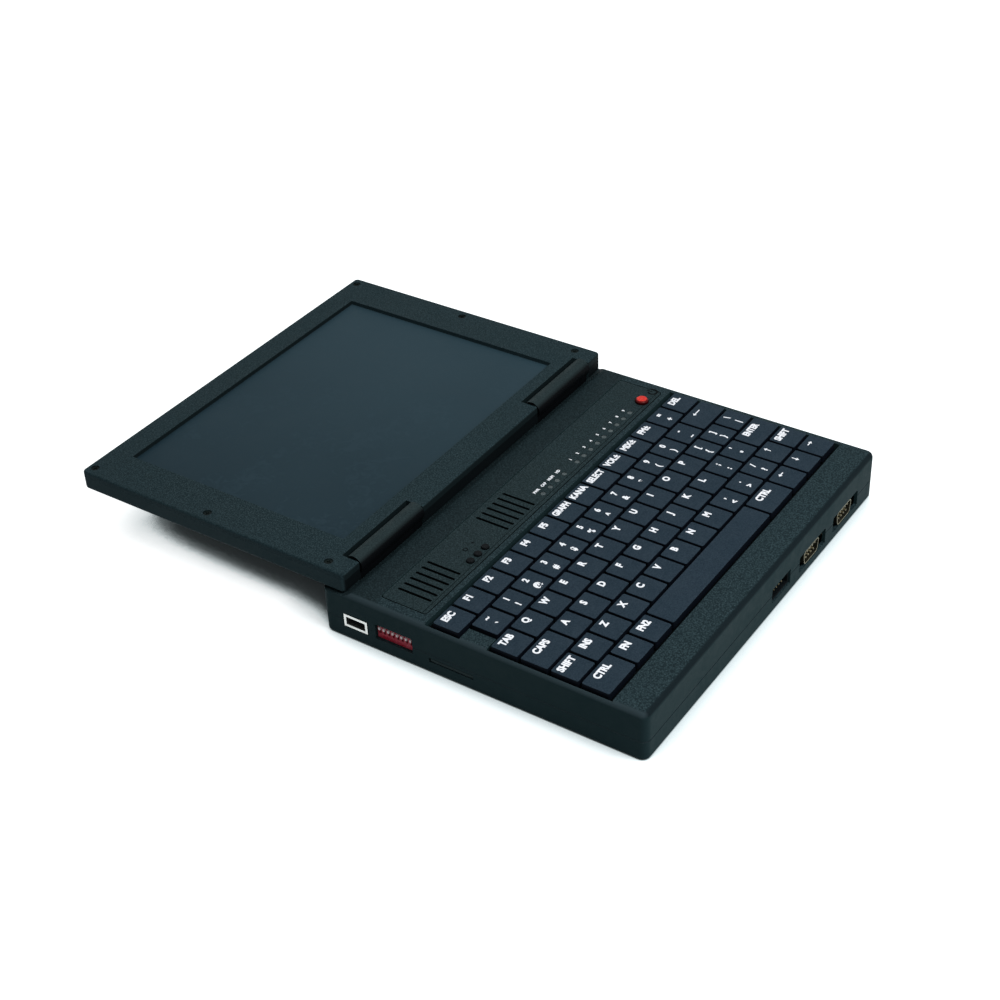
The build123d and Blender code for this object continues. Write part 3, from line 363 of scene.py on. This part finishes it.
keyLook = {
    "dark": (30, 43, 53), "pale": (46, 60, 71), "side": (9, 13, 20), "fleck": 0.7,
    "grain": 1600.0, "topFrom": 0.25, "topTo": 0.6, "bump": 0.12, "bumpHeight": 0.00012,
    "rough": 0.55, "roughRange": 0.08, "gloss": 0.03, "marks": 75.0, "film": 0.15,
    "filmAndSheenColour": (50, 63, 74),
    "wearAndGlint": 0.25, "wearWidth": 0.0004, "wearAndGlintColour": (60, 75, 88),
}
# The barrels' lower front faces take the near-black side colour: painted shade.
barrelLook = dict(
    keyLook, dark=(30, 41, 43), pale=(46, 59, 61), side=(5, 7, 9), topFrom=0.45, topTo=0.85,
    filmAndSheenColour=(46, 58, 60), wearAndGlint=0.05, wearAndGlintColour=(56, 68, 70))


def makeKeyPlastic(name, look):
    # The tops are slate. The sides are tinted near black: painted shade.
    material, tree = newMaterial(name)
    grain = placeGroup(tree, mouldGrain, (0, 0), Scale=look["grain"], Contrast=look["fleck"])
    wearAndGlint = placeGroup(tree, edgeWearAndGlint, (0, 1), Radius=look["wearWidth"], Amount=look["wearAndGlint"])
    marks = placeGroup(tree, handling, (0, 2), Scale=look["marks"])
    place = addNode(tree, "ShaderNodeTexCoord", (0, 3))
    facing = addNode(tree, "ShaderNodeSeparateXYZ", (1, 3), {"Vector": place.outputs["Normal"]})
    topMask = rescale(tree, facing.outputs["Z"], (2, 3), look["topFrom"], look["topTo"], 0.0, 1.0)
    grained = mixColours(tree, grain.outputs["Tone"], colour(*look["dark"]),
                         colour(*look["pale"]), (1, 0))
    handled = mixColours(tree, rescale(tree, marks.outputs["Marks"], (1, 2), 0, 1, 0, look["film"]),
                         grained, colour(*look["filmAndSheenColour"]), (2, 0))
    worn = mixColours(tree, wearAndGlint.outputs["Mask"], handled, colour(*look["wearAndGlintColour"]), (3, 0))
    sided = mixColours(tree, topMask, colour(*look["side"]), worn, (4, 0))
    roughness = rescale(tree, marks.outputs["Marks"], (3, 2), 0, 1,
                        look["rough"] + look["roughRange"], look["rough"] - look["roughRange"])
    bump = addNode(tree, "ShaderNodeBump", (3, 3), {
        "Height": grain.outputs["Height"], "Strength": look["bump"],
        "Distance": look["bumpHeight"]})
    finishMaterial(tree, {
        "Base Color": sided, "Roughness": roughness, "Normal": bump.outputs["Normal"],
        "Specular IOR Level": look["gloss"]}, (5, 0))
    return material


keyPlastic = makeKeyPlastic("keyPlastic", keyLook)
barrelPlastic = makeKeyPlastic("barrelPlastic", barrelLook)
print("plastics made")


screenLook = {
    "low": (28, 45, 53), "high": (46, 66, 75), "lowAt": -0.1, "highAt": 0.1, "clouds": 9.0,
    "smear": (50, 67, 76), "smearAmount": 0.25, "marks": 30.0, "rough": 0.42, "roughRange": 0.12,
    "gloss": 0.03, "sparkle": 4200.0, "bump": 0.12, "bumpHeight": 0.00003,
}


def makeScreen(name, look):
    # Anti-glare film over a dark panel: paler towards the right, which is a painted reflection of
    # the lamps, cloudy, with faint wiped smears.
    material, tree = newMaterial(name)
    place = addNode(tree, "ShaderNodeTexCoord", (0, 0))
    clouds = addNode(tree, "ShaderNodeTexNoise", (1, 0), {
        "Vector": place.outputs["Object"], "Scale": look["clouds"], "Detail": 2.0})
    across = addNode(tree, "ShaderNodeSeparateXYZ", (0, 3), {"Vector": place.outputs["Object"]})
    paintedReflection = rescale(tree, across.outputs["X"], (1, 3), look["lowAt"], look["highAt"], 0.05, 0.8)
    cloud = rescale(tree, clouds.outputs["Fac"], (2, 0), 0.35, 0.65, -0.08, 0.12)
    tone = addNode(tree, "ShaderNodeMath", (2, 3), {0: paintedReflection, 1: cloud}, operation="ADD")
    base = mixColours(tree, tone.outputs[0], colour(*look["low"]), colour(*look["high"]), (3, 0))
    marks = placeGroup(tree, handling, (1, 1), Scale=look["marks"])
    share = rescale(tree, marks.outputs["Marks"], (2, 1), 0.5, 1, 0, look["smearAmount"])
    smeared = mixColours(tree, share, base, colour(*look["smear"]), (4, 0))
    roughness = rescale(tree, marks.outputs["Marks"], (3, 1), 0, 1, look["rough"],
                        look["rough"] + look["roughRange"])
    sparkle = addNode(tree, "ShaderNodeTexNoise", (1, 2), {
        "Vector": place.outputs["Object"], "Scale": look["sparkle"], "Detail": 1.0})
    bump = addNode(tree, "ShaderNodeBump", (3, 2), {
        "Height": sparkle.outputs["Fac"], "Strength": look["bump"],
        "Distance": look["bumpHeight"]})
    finishMaterial(tree, {
        "Base Color": smeared, "Roughness": roughness, "Normal": bump.outputs["Normal"],
        "Specular IOR Level": look["gloss"]}, (5, 0))
    return material


screenFilm = makeScreen("screenFilm", screenLook)


def makeMetal(name, look):
    # Plated or drawn metal: fine streaks one way, dulled in cloudy patches, brighter at the edges.
    # The rim, the faces that look one way, can have a colour of its own: a painted highlight, with
    # the darker metal colour on the other faces as painted shade.
    material, tree = newMaterial(name)
    place = addNode(tree, "ShaderNodeTexCoord", (0, 0))
    stretched = addNode(tree, "ShaderNodeMapping", (1, 0), {
        "Vector": place.outputs["Object"], "Scale": look["stretch"]})
    streaks = addNode(tree, "ShaderNodeTexNoise", (2, 0), {
        "Vector": stretched.outputs["Vector"], "Scale": look["grain"], "Detail": 4.0})
    marks = placeGroup(tree, handling, (1, 1), Scale=look["marks"])
    wearAndGlint = placeGroup(tree, edgeWearAndGlint, (1, 2), Radius=look["wearWidth"], Amount=look["wearAndGlint"])
    dulled = mixColours(tree, marks.outputs["Marks"], colour(*look["bright"]),
                        colour(*look["dull"]), (3, 0))
    worn = mixColours(tree, wearAndGlint.outputs["Mask"], dulled, colour(*look["edge"]), (4, 0))
    if "rim" in look:
        axis, towards, tint = look["rim"]
        facing = addNode(tree, "ShaderNodeSeparateXYZ", (1, 4), {
            "Vector": place.outputs["Normal"]})
        rim = rescale(tree, facing.outputs[axis], (3, 4), towards * 0.6, towards * 0.95, 0.0, 1.0)
        worn = mixColours(tree, rim, worn, colour(*tint), (4, 2))
    roughness = rescale(tree, streaks.outputs["Fac"], (3, 1), 0.3, 0.7,
                        look["rough"] - look["smoother"], look["rough"] + look["rougher"])
    bump = addNode(tree, "ShaderNodeBump", (3, 2), {
        "Height": streaks.outputs["Fac"], "Strength": look["bump"],
        "Distance": look["bumpHeight"]})
    finishMaterial(tree, {
        "Base Color": worn, "Roughness": roughness, "Normal": bump.outputs["Normal"],
        "Metallic": look["metal"], "Specular IOR Level": look["gloss"]}, (5, 0))
    return material


goldLook = {
    "bright": (132, 124, 96), "dull": (92, 86, 62), "edge": (158, 150, 120), "grain": 900.0,
    "stretch": (1.0, 8.0, 1.0), "bump": 0.15, "bumpHeight": 0.00003, "marks": 120.0,
    "wearAndGlint": 0.6, "wearWidth": 0.0002, "rough": 0.32, "smoother": 0.08, "rougher": 0.1,
    "metal": 0.3, "gloss": 0.3,
}
steelLook = dict(
    goldLook, bright=(170, 172, 174), dull=(122, 124, 126), edge=(208, 210, 212), metal=1.0,
    gloss=0.5)
# The USB shell's near-white rim is its bright plating pushed up as a painted highlight, and its
# dark grey elsewhere is painted shade inside the mouth.
socketLook = dict(
    goldLook, bright=(92, 96, 94), dull=(44, 48, 46), edge=(120, 124, 120), metal=0.4, rough=0.3,
    wearAndGlint=0.1, gloss=0.5, rim=("X", -1, (252, 254, 250)))
screwLook = dict(
    goldLook, bright=(18, 27, 27), dull=(7, 12, 12), edge=(32, 43, 43), rough=0.5, metal=0.1,
    wearAndGlint=0.3, gloss=0.03)
# The D-sub shells' pale front faces are a painted highlight, and their near-black elsewhere is
# painted shade inside the shells.
shellLook = dict(
    goldLook, bright=(40, 39, 31), dull=(16, 16, 12), edge=(118, 114, 94), rough=0.36, metal=0.1,
    wearAndGlint=0.5, gloss=0.1, rim=("Y", -1, (132, 128, 106)))
contactGold = makeMetal("contactGold", goldLook)
drawnSteel = makeMetal("drawnSteel", steelLook)
socketMetal = makeMetal("socketMetal", socketLook)
screwMetal = makeMetal("screwMetal", screwLook)
shellMetal = makeMetal("shellMetal", shellLook)
print("metals and screen made")


boardLook = {
    "mask": (14, 62, 40), "trace": (26, 92, 58), "pad": (176, 150, 84), "runs": 60.0,
    "pads": 220.0, "rough": 0.38, "padRough": 0.25, "bump": 0.3, "bumpHeight": 0.00004,
}


def makeBoard(name, look):
    # Green solder mask with copper runs showing through it and a scatter of bare pads.
    material, tree = newMaterial(name)
    place = addNode(tree, "ShaderNodeTexCoord", (0, 0))
    runs = addNode(tree, "ShaderNodeTexBrick", (1, 0), {
        "Vector": place.outputs["Object"], "Scale": look["runs"], "Mortar Size": 0.03,
        "Brick Width": 0.7, "Row Height": 0.12})
    pads = addNode(tree, "ShaderNodeTexVoronoi", (1, 1), {
        "Vector": place.outputs["Object"], "Scale": look["pads"]})
    padMask = rescale(tree, pads.outputs["Distance"], (2, 1), 0.16, 0.2, 1.0, 0.0)
    traced = mixColours(tree, runs.outputs["Fac"], colour(*look["mask"]),
                        colour(*look["trace"]), (2, 0))
    padded = mixColours(tree, padMask, traced, colour(*look["pad"]), (3, 0))
    roughness = rescale(tree, padMask, (3, 1), 0, 1, look["rough"], look["padRough"])
    bump = addNode(tree, "ShaderNodeBump", (3, 2), {
        "Height": runs.outputs["Fac"], "Strength": look["bump"], "Distance": look["bumpHeight"]})
    finishMaterial(tree, {
        "Base Color": padded, "Roughness": roughness, "Normal": bump.outputs["Normal"]}, (4, 0))
    return material


boardGreen = makeBoard("boardGreen", boardLook)


def makeInk(name, look):
    # Printed ink, a touch thin in places.
    material, tree = newMaterial(name)
    place = addNode(tree, "ShaderNodeTexCoord", (0, 0))
    thin = addNode(tree, "ShaderNodeTexNoise", (1, 0), {
        "Vector": place.outputs["Object"], "Scale": look["grain"], "Detail": 3.0})
    tone = rescale(tree, thin.outputs["Fac"], (2, 0), 0.35, 0.6, 0.0, 1.0)
    inked = mixColours(tree, tone, colour(*look["thin"]), colour(*look["full"]), (3, 0))
    roughness = rescale(tree, thin.outputs["Fac"], (3, 1), 0.3, 0.7, look["rough"],
                        look["rough"] + look["roughRange"])
    finishMaterial(tree, {
        "Base Color": inked, "Roughness": roughness, "Specular IOR Level": look["gloss"]}, (4, 0))
    return material


whiteInkLook = {
    "thin": (222, 230, 240), "full": (250, 252, 255), "grain": 2600.0, "rough": 0.5,
    "roughRange": 0.15, "gloss": 0.3,
}
darkInkLook = dict(whiteInkLook, thin=(10, 14, 15), full=(4, 7, 8), rough=0.6, gloss=0.02)
whiteInk = makeInk("whiteInk", whiteInkLook)
darkInk = makeInk("darkInk", darkInkLook)
print("boards and inks made")


keyNames = [name for name in nodes if name.startswith(("key_", "keys_"))]
finishes = [
    (casePlastic, ["base_bottom_shell", "base_top_shell"]),
    (bezelPlastic, ["lid_bezel"]),
    (coverPlastic, ["lid_back_cover"]),
    (barrelPlastic, ["hinge_barrels"]),
    (panelPlastic, ["control_panel"]),
    (blackPlastic, [
        "keyboard_frame", "speakers", "connector_bodies", "power_inlet", "display_panel",
        "card_slot", "small_button_1", "small_button_2", "small_button_3"]),
    (redSwitch, ["dip_switch_body"]),
    (leverPlastic, [f"dip_lever_{index}" for index in range(1, 9)]),
    (redButton, ["power_button"]),
    (lightPipe, ["status_lights"]),
    (footRubber, ["rubber_feet"]),
    (membraneFilm, ["keyboard_membrane"]),
    (batteryWrap, ["battery_pack"]),
    (keyPlastic, keyNames),
    (screenFilm, ["display_glass"]),
    (contactGold, ["port_pins"]),
    (drawnSteel, ["hinge_pins", "keyboard_backplate"]),
    (socketMetal, ["usb_shell"]),
    (screwMetal, ["base_screws", "lid_screws"]),
    (shellMetal, ["dsub_shells"]),
    (boardGreen, ["mainboard", "control_board", "display_driver_board"]),
]
finished = set()
for material, names in finishes:
    for name in names:
        piece = nodes[name]
        piece.data.materials.clear()
        piece.data.materials.append(material)
        finished.add(name)
left = sorted(set(nodes) - finished)
print("finishes put on", len(finished), "of", len(nodes), "pieces; left:", left)


capShare = 0.729  # a capital's height as a share of the font's size


def textMesh(words, capHeight, weight, thickness):
    curve = bpy.data.curves.new("words", "FONT")
    curve.body = words
    curve.size = capHeight / capShare
    curve.offset = weight * capHeight
    curve.extrude = thickness / 2
    curve.align_x = "CENTER"
    curve.resolution_u = 3
    holder = addObject("words", curve)
    bpy.context.view_layer.update()
    mesh = bpy.data.meshes.new_from_object(holder)
    bpy.data.objects.remove(holder)
    bpy.data.curves.remove(curve)
    return mesh


def flatMesh(outlines, thickness):
    # Flat plates from lists of corners, each given a thickness.
    shape = bmesh.new()
    for outline in outlines:
        corners = [shape.verts.new((x, y, -thickness / 2)) for x, y in outline]
        face = shape.faces.new(corners)
        grown = bmesh.ops.extrude_face_region(shape, geom=[face])
        lifted = [item for item in grown["geom"] if isinstance(item, bmesh.types.BMVert)]
        bmesh.ops.translate(shape, verts=lifted, vec=(0, 0, thickness))
    bmesh.ops.recalc_face_normals(shape, faces=shape.faces)
    mesh = bpy.data.meshes.new("plates")
    shape.to_mesh(mesh)
    shape.free()
    return mesh


def arrowOutlines(length, head, shaft, turn):
    # A shaft and a head that point along +X before the turn, in degrees.
    half = length / 2
    neck = half - head
    spread = head * 0.72  # half the width of the head
    parts = [
        [(-half, -shaft / 2), (neck, -shaft / 2), (neck, shaft / 2), (-half, shaft / 2)],
        [(neck, -spread), (half, 0), (neck, spread)],
    ]
    spin = Matrix.Rotation(math.radians(turn), 2)
    return [[tuple(spin @ Vector(corner)) for corner in part] for part in parts]


def ringOutlines(radius, width, startAngle, endAngle, steps):
    # A ring, or part of one, as a row of quads.
    turns = [math.radians(startAngle + (endAngle - startAngle) * step / steps)
             for step in range(steps + 1)]
    inner = radius - width
    return [[(reach * math.cos(turn), reach * math.sin(turn)) for reach, turn in (
        (inner, first), (radius, first), (radius, second), (inner, second))]
        for first, second in zip(turns, turns[1:])]


def joinMarks(name, marks, material, body):
    # Each mark is (mesh, x, y, z, squeeze along x), and all become one piece on one body.
    shape = bmesh.new()
    for mesh, x, y, z, squeeze in marks:
        before = len(shape.verts)
        shape.from_mesh(mesh)
        shape.verts.ensure_lookup_table()
        for vertex in shape.verts[before:]:
            vertex.co = Vector((vertex.co.x * squeeze + x, vertex.co.y + y, vertex.co.z + z))
        bpy.data.meshes.remove(mesh)
    joined = bpy.data.meshes.new(name)
    shape.to_mesh(joined)
    shape.free()
    joined.materials.append(material)
    piece = addObject(name, joined)
    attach(piece, body)


def keysOf(body, legends):
    # One key each, without a second legend.
    return [(body, 1, words, "") for words in legends]


def twinKeys(body, pairs):
    # One key each, with a back legend and a front legend.
    return [(body, 1, back, front) for back, front in pairs]


functionWords = ["F1", "F2", "F3", "F4", "F5", "GRAPH", "KANA", "SELECT", "VOL\u00b1", "MIX\u00b1",
                 "FM\u00b1"]
# A row is (start in keys, keys), and a key is (body, width in keys, back legend, front legend).
keyboard = {
    "pitchX": 0.016, "pitchY": 0.01575, "capHeight": 0.0036, "smallCap": 0.0033, "weight": 0.075,
    "widest": 0.0125, "thickness": 0.00004, "squeeze": 0.9, "backLine": 0.0036,
    "frontLine": -0.0029, "arrowLength": 0.004, "longArrow": 0.0062, "arrowHead": 0.0016,
    "arrowShaft": 0.0006,
    "rows": [
        (0.0, [("key_escape", 1, "ESC", "")] + keysOf("keys_function", functionWords)
         + [("keys_function", 1, "=", "+"), ("key_delete", 1, "DEL", "")]),
        (0.5, twinKeys("keys_number", zip("~1234567890-", "`!@#$%^&*()_"))
         + [("key_backspace", 1.5, "longLeft", "")]),
        (0.0, [("key_tab", 1, "TAB", "")] + keysOf("keys_upper_letter", "QWERTYUIOP")
         + twinKeys("keys_upper_letter", (("[", "{"), ("]", "}"), ("\\", "|")))),
        (0.0, [("key_caps_lock", 1.5, "CAPS", "")] + keysOf("keys_home_letter", "ASDFGHJKL")
         + twinKeys("keys_home_letter", ((";", ":"), ("'", '"')))
         + [("key_enter", 1.5, "ENTER", "")]),
        (0.0, [("keys_shift", 1, "SHIFT", ""), ("key_insert", 1, "INS", "")]
         + keysOf("keys_lower_letter", "ZXCVBNM")
         + twinKeys("keys_lower_letter", ((",", "<"), (".", ">"), ("/", "?")))
         + [("key_arrow_up", 1, "up", ""), ("keys_shift", 1, "SHIFT", "")]),
        (0.0, [("keys_control", 1.5, "CTRL", "")] + keysOf("keys_fn", ("FN", "FN2"))
         + [("key_space", 6, "", ""), ("keys_control", 1.5, "CTRL", ""),
            ("key_arrow_left", 1, "left", ""), ("key_arrow_down", 1, "down", ""),
            ("key_arrow_right", 1, "right", "")]),
    ],
}
arrowTurns = {"up": 90, "left": 180, "down": -90, "right": 0, "longLeft": 180}


def keyLegend(words, look, small):
    # Gives the mesh, its squeeze along x, and how far it drops below its line.
    if words in arrowTurns:
        length = look["longArrow"] if words == "longLeft" else look["arrowLength"]
        outlines = arrowOutlines(length, look["arrowHead"], look["arrowShaft"], arrowTurns[words])
        return flatMesh(outlines, look["thickness"]), 1.0, 0.0
    capHeight = look["smallCap"] if small else look["capHeight"]
    mesh = textMesh(words, capHeight, look["weight"], look["thickness"])
    across = [vertex.co.x for vertex in mesh.vertices]
    width = max(across) - min(across)
    return mesh, min(look["squeeze"], look["widest"] / width), -capHeight / 2


def makeKeyLegends(look):
    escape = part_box("key_escape")
    left = (escape[0][0] + escape[1][0]) / 2 - look["pitchX"] / 2
    back = (escape[0][1] + escape[1][1]) / 2 + look["pitchY"] / 2
    top = escape[1][2]
    marksByBody = {}
    for row, (start, keys) in enumerate(look["rows"]):
        y = back - (row + 0.5) * look["pitchY"]
        at = start
        for body, width, backWords, frontWords in keys:
            x = left + (at + width / 2) * look["pitchX"]
            at += width
            for words, line in ((backWords, look["backLine"]), (frontWords, look["frontLine"])):
                if words:
                    mesh, squeeze, drop = keyLegend(words, look, bool(frontWords))
                    mark = (mesh, x, y + line + drop, top, squeeze)
                    marksByBody.setdefault(body, []).append(mark)
    for body, marks in marksByBody.items():
        joinMarks("legend_" + body, marks, whiteInk, body)
    return len(marksByBody)


print("legends printed on", makeKeyLegends(keyboard), "key pieces")


panelMarks = {
    "thickness": 0.00003, "weight": 0.07, "labelLine": -0.0368, "labelCap": 0.0016,
    "pitch": 0.00656,
    "groups": [(-0.0015, 0.95, ["PWR", "CAP", "NUM", "HD"]), (0.0305, 1.0, "123456789")],
    "buttons": [(-0.0651, "-"), (-0.05885, "O"), (-0.0526, "+")], "iconLine": -0.0335,
    "iconCap": 0.0026, "iconWeight": 0.03,
    "power": (0.1067, -0.041), "powerRadius": 0.0029, "powerArc": (125, 415), "powerSteps": 28,
    # The line's width and the bar's half width, start and end are shares of the radius.
    "powerLine": 0.36, "powerBar": (0.12, 0.1, 1.2),
}


def makePanelMarks(look):
    # A group is (first x, squeeze, labels), one label for each light.
    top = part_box("control_panel")[1][2]
    thickness = look["thickness"]
    labels = []
    for start, squeeze, words in look["groups"]:
        for index, label in enumerate(words):
            mesh = textMesh(label, look["labelCap"], look["weight"], thickness)
            labels.append((mesh, start + index * look["pitch"],
                           look["labelLine"] - look["labelCap"] / 2, top, squeeze))
    joinMarks("light_labels", labels, whiteInk, "base")
    icons = []
    for x, icon in look["buttons"]:
        mesh = textMesh(icon, look["iconCap"], look["iconWeight"], thickness)
        icons.append((mesh, x, look["iconLine"] - look["iconCap"] / 2, top, 1.0))
    radius = look["powerRadius"]
    ring = ringOutlines(radius, radius * look["powerLine"], *look["powerArc"],
                        look["powerSteps"])
    half, low, high = [radius * share for share in look["powerBar"]]
    bar = [(-half, low), (half, low), (half, high), (-half, high)]
    icons.append((flatMesh(ring + [bar], thickness), *look["power"], top, 1.0))
    joinMarks("button_icons", icons, darkInk, "base")


makePanelMarks(panelMarks)
print("control strip marked")


cardBlank = {
    "middle": (-0.1143, -0.0635, 0.00715), "size": (0.0012, 0.0236, 0.0015), "round": 0.0002,
}


def makeCardBlank(look):
    # The blanking strip that keeps dust out of the card slot while no card is in it.
    shape = bmesh.new()
    bmesh.ops.create_cube(shape, size=1.0)
    bmesh.ops.scale(shape, vec=look["size"], verts=shape.verts)
    bmesh.ops.bevel(shape, geom=shape.edges[:], offset=look["round"], segments=3, profile=0.5,
                    affect="EDGES")
    bmesh.ops.translate(shape, vec=look["middle"], verts=shape.verts)
    mesh = bpy.data.meshes.new("card_blank")
    shape.to_mesh(mesh)
    shape.free()
    mesh.materials.append(slotPlastic)
    piece = addObject("card_blank", mesh)
    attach(piece, "base")


makeCardBlank(cardBlank)
print("card slot blanked")


# The floor's shadow has two parts, each from how much sky a point sees: a narrow one at the foot of
# what stands on it, and a wide one under what hangs over it.
studio = {
    "floorSize": 8.0, "floorColour": (0.36, 0.42, 0.44), "floorGlow": 1.0,
    "footReach": 0.035, "footSamples": 12, "footDark": 0.3, "footPale": 0.72,
    "coverReach": 0.25, "coverSamples": 32, "coverDark": 0.278, "coverPale": 0.345,
    "shadowTint": (0.78, 0.97, 1.0),
    "worldStrength": 0.25,
    "keyPlace": (-0.05, -0.62, 0.78), "keySize": 0.5, "keyPower": 7.4,
    "fillPlace": (0.35, 0.5, 1.1), "fillSize": 1.0, "fillPower": 3.4,
}


def seenDirectly(tree, place):
    # 1 for what the camera, a reflection or a clear material looks at, and 0 for other light.
    path = addNode(tree, "ShaderNodeLightPath", place)
    first = addNode(tree, "ShaderNodeMath", (place[0] + 1, place[1]), {
        0: path.outputs["Is Camera Ray"], 1: path.outputs["Is Glossy Ray"]}, operation="MAXIMUM")
    second = addNode(tree, "ShaderNodeMath", (place[0] + 2, place[1]), {
        0: first.outputs[0], 1: path.outputs["Is Transmission Ray"]}, operation="MAXIMUM")
    return second.outputs[0]


def makeWorld(setup):
    world = bpy.data.worlds.new("studioWorld")
    world.use_nodes = True
    tree = world.node_tree
    tree.nodes.clear()
    light = addNode(tree, "ShaderNodeBackground", (2, 0), {
        "Color": (1, 1, 1, 1), "Strength": setup["worldStrength"]})
    white = addNode(tree, "ShaderNodeBackground", (2, 1), {
        "Color": (1, 1, 1, 1), "Strength": 1.0})
    mixed = addNode(tree, "ShaderNodeMixShader", (4, 0))
    tree.links.new(seenDirectly(tree, (0, 2)), mixed.inputs[0])
    tree.links.new(light.outputs[0], mixed.inputs[1])
    tree.links.new(white.outputs[0], mixed.inputs[2])
    addNode(tree, "ShaderNodeOutputWorld", (5, 0), {"Surface": mixed.outputs[0]})
    bpy.context.scene.world = world


def makeFloor(setup):
    half = setup["floorSize"] / 2
    mesh = bpy.data.meshes.new("studioFloor")
    corners = [(-half, -half, 0), (half, -half, 0), (half, half, 0), (-half, half, 0)]
    mesh.from_pydata(corners, [], [(0, 1, 2, 3)])
    floor = addObject("studioFloor", mesh)
    material, tree = newMaterial("studioFloor")
    paper = addNode(tree, "ShaderNodeBsdfDiffuse", (1, 0), {
        "Color": (*setup["floorColour"], 1)})
    nearSky = addNode(tree, "ShaderNodeAmbientOcclusion", (0, 3), {
        "Distance": setup["footReach"]}, samples=setup["footSamples"])
    wideSky = addNode(tree, "ShaderNodeAmbientOcclusion", (0, 4), {
        "Distance": setup["coverReach"]}, samples=setup["coverSamples"])
    foot = rescale(tree, nearSky.outputs["AO"], (1, 3), setup["footDark"], setup["footPale"], 0.0,
                   setup["floorGlow"])
    cover = rescale(tree, wideSky.outputs["AO"], (1, 4), setup["coverDark"], setup["coverPale"],
                    0.0, 1.0)
    lit = addNode(tree, "ShaderNodeMath", (2, 3), {0: foot, 1: cover}, operation="MULTIPLY")
    strength = addNode(tree, "ShaderNodeMath", (3, 2), {
        0: seenDirectly(tree, (0, 2)), 1: lit.outputs[0]}, operation="MULTIPLY")
    tone = mixColours(tree, lit.outputs[0], (*setup["shadowTint"], 1), (1, 1, 1, 1), (3, 3))
    lift = addNode(tree, "ShaderNodeEmission", (4, 1), {
        "Color": tone, "Strength": strength.outputs[0]})
    added = addNode(tree, "ShaderNodeAddShader", (4, 0), {0: paper.outputs[0], 1: lift.outputs[0]})
    addNode(tree, "ShaderNodeOutputMaterial", (5, 0), {"Surface": added.outputs[0]})
    mesh.materials.append(material)


def makeLamp(name, place, size, power):
    # A round soft lamp that points at the origin.
    data = bpy.data.lights.new(name, "AREA")
    data.shape = "DISK"
    data.size = size
    data.energy = power
    lamp = addObject(name, data)
    lamp.location = place
    lamp.rotation_euler = Vector(place).to_track_quat("Z", "Y").to_euler()


makeWorld(studio)
makeFloor(studio)
makeLamp("keyLamp", studio["keyPlace"], studio["keySize"], studio["keyPower"])
makeLamp("fillLamp", studio["fillPlace"], studio["fillSize"], studio["fillPower"])
print("floor and lamps set")
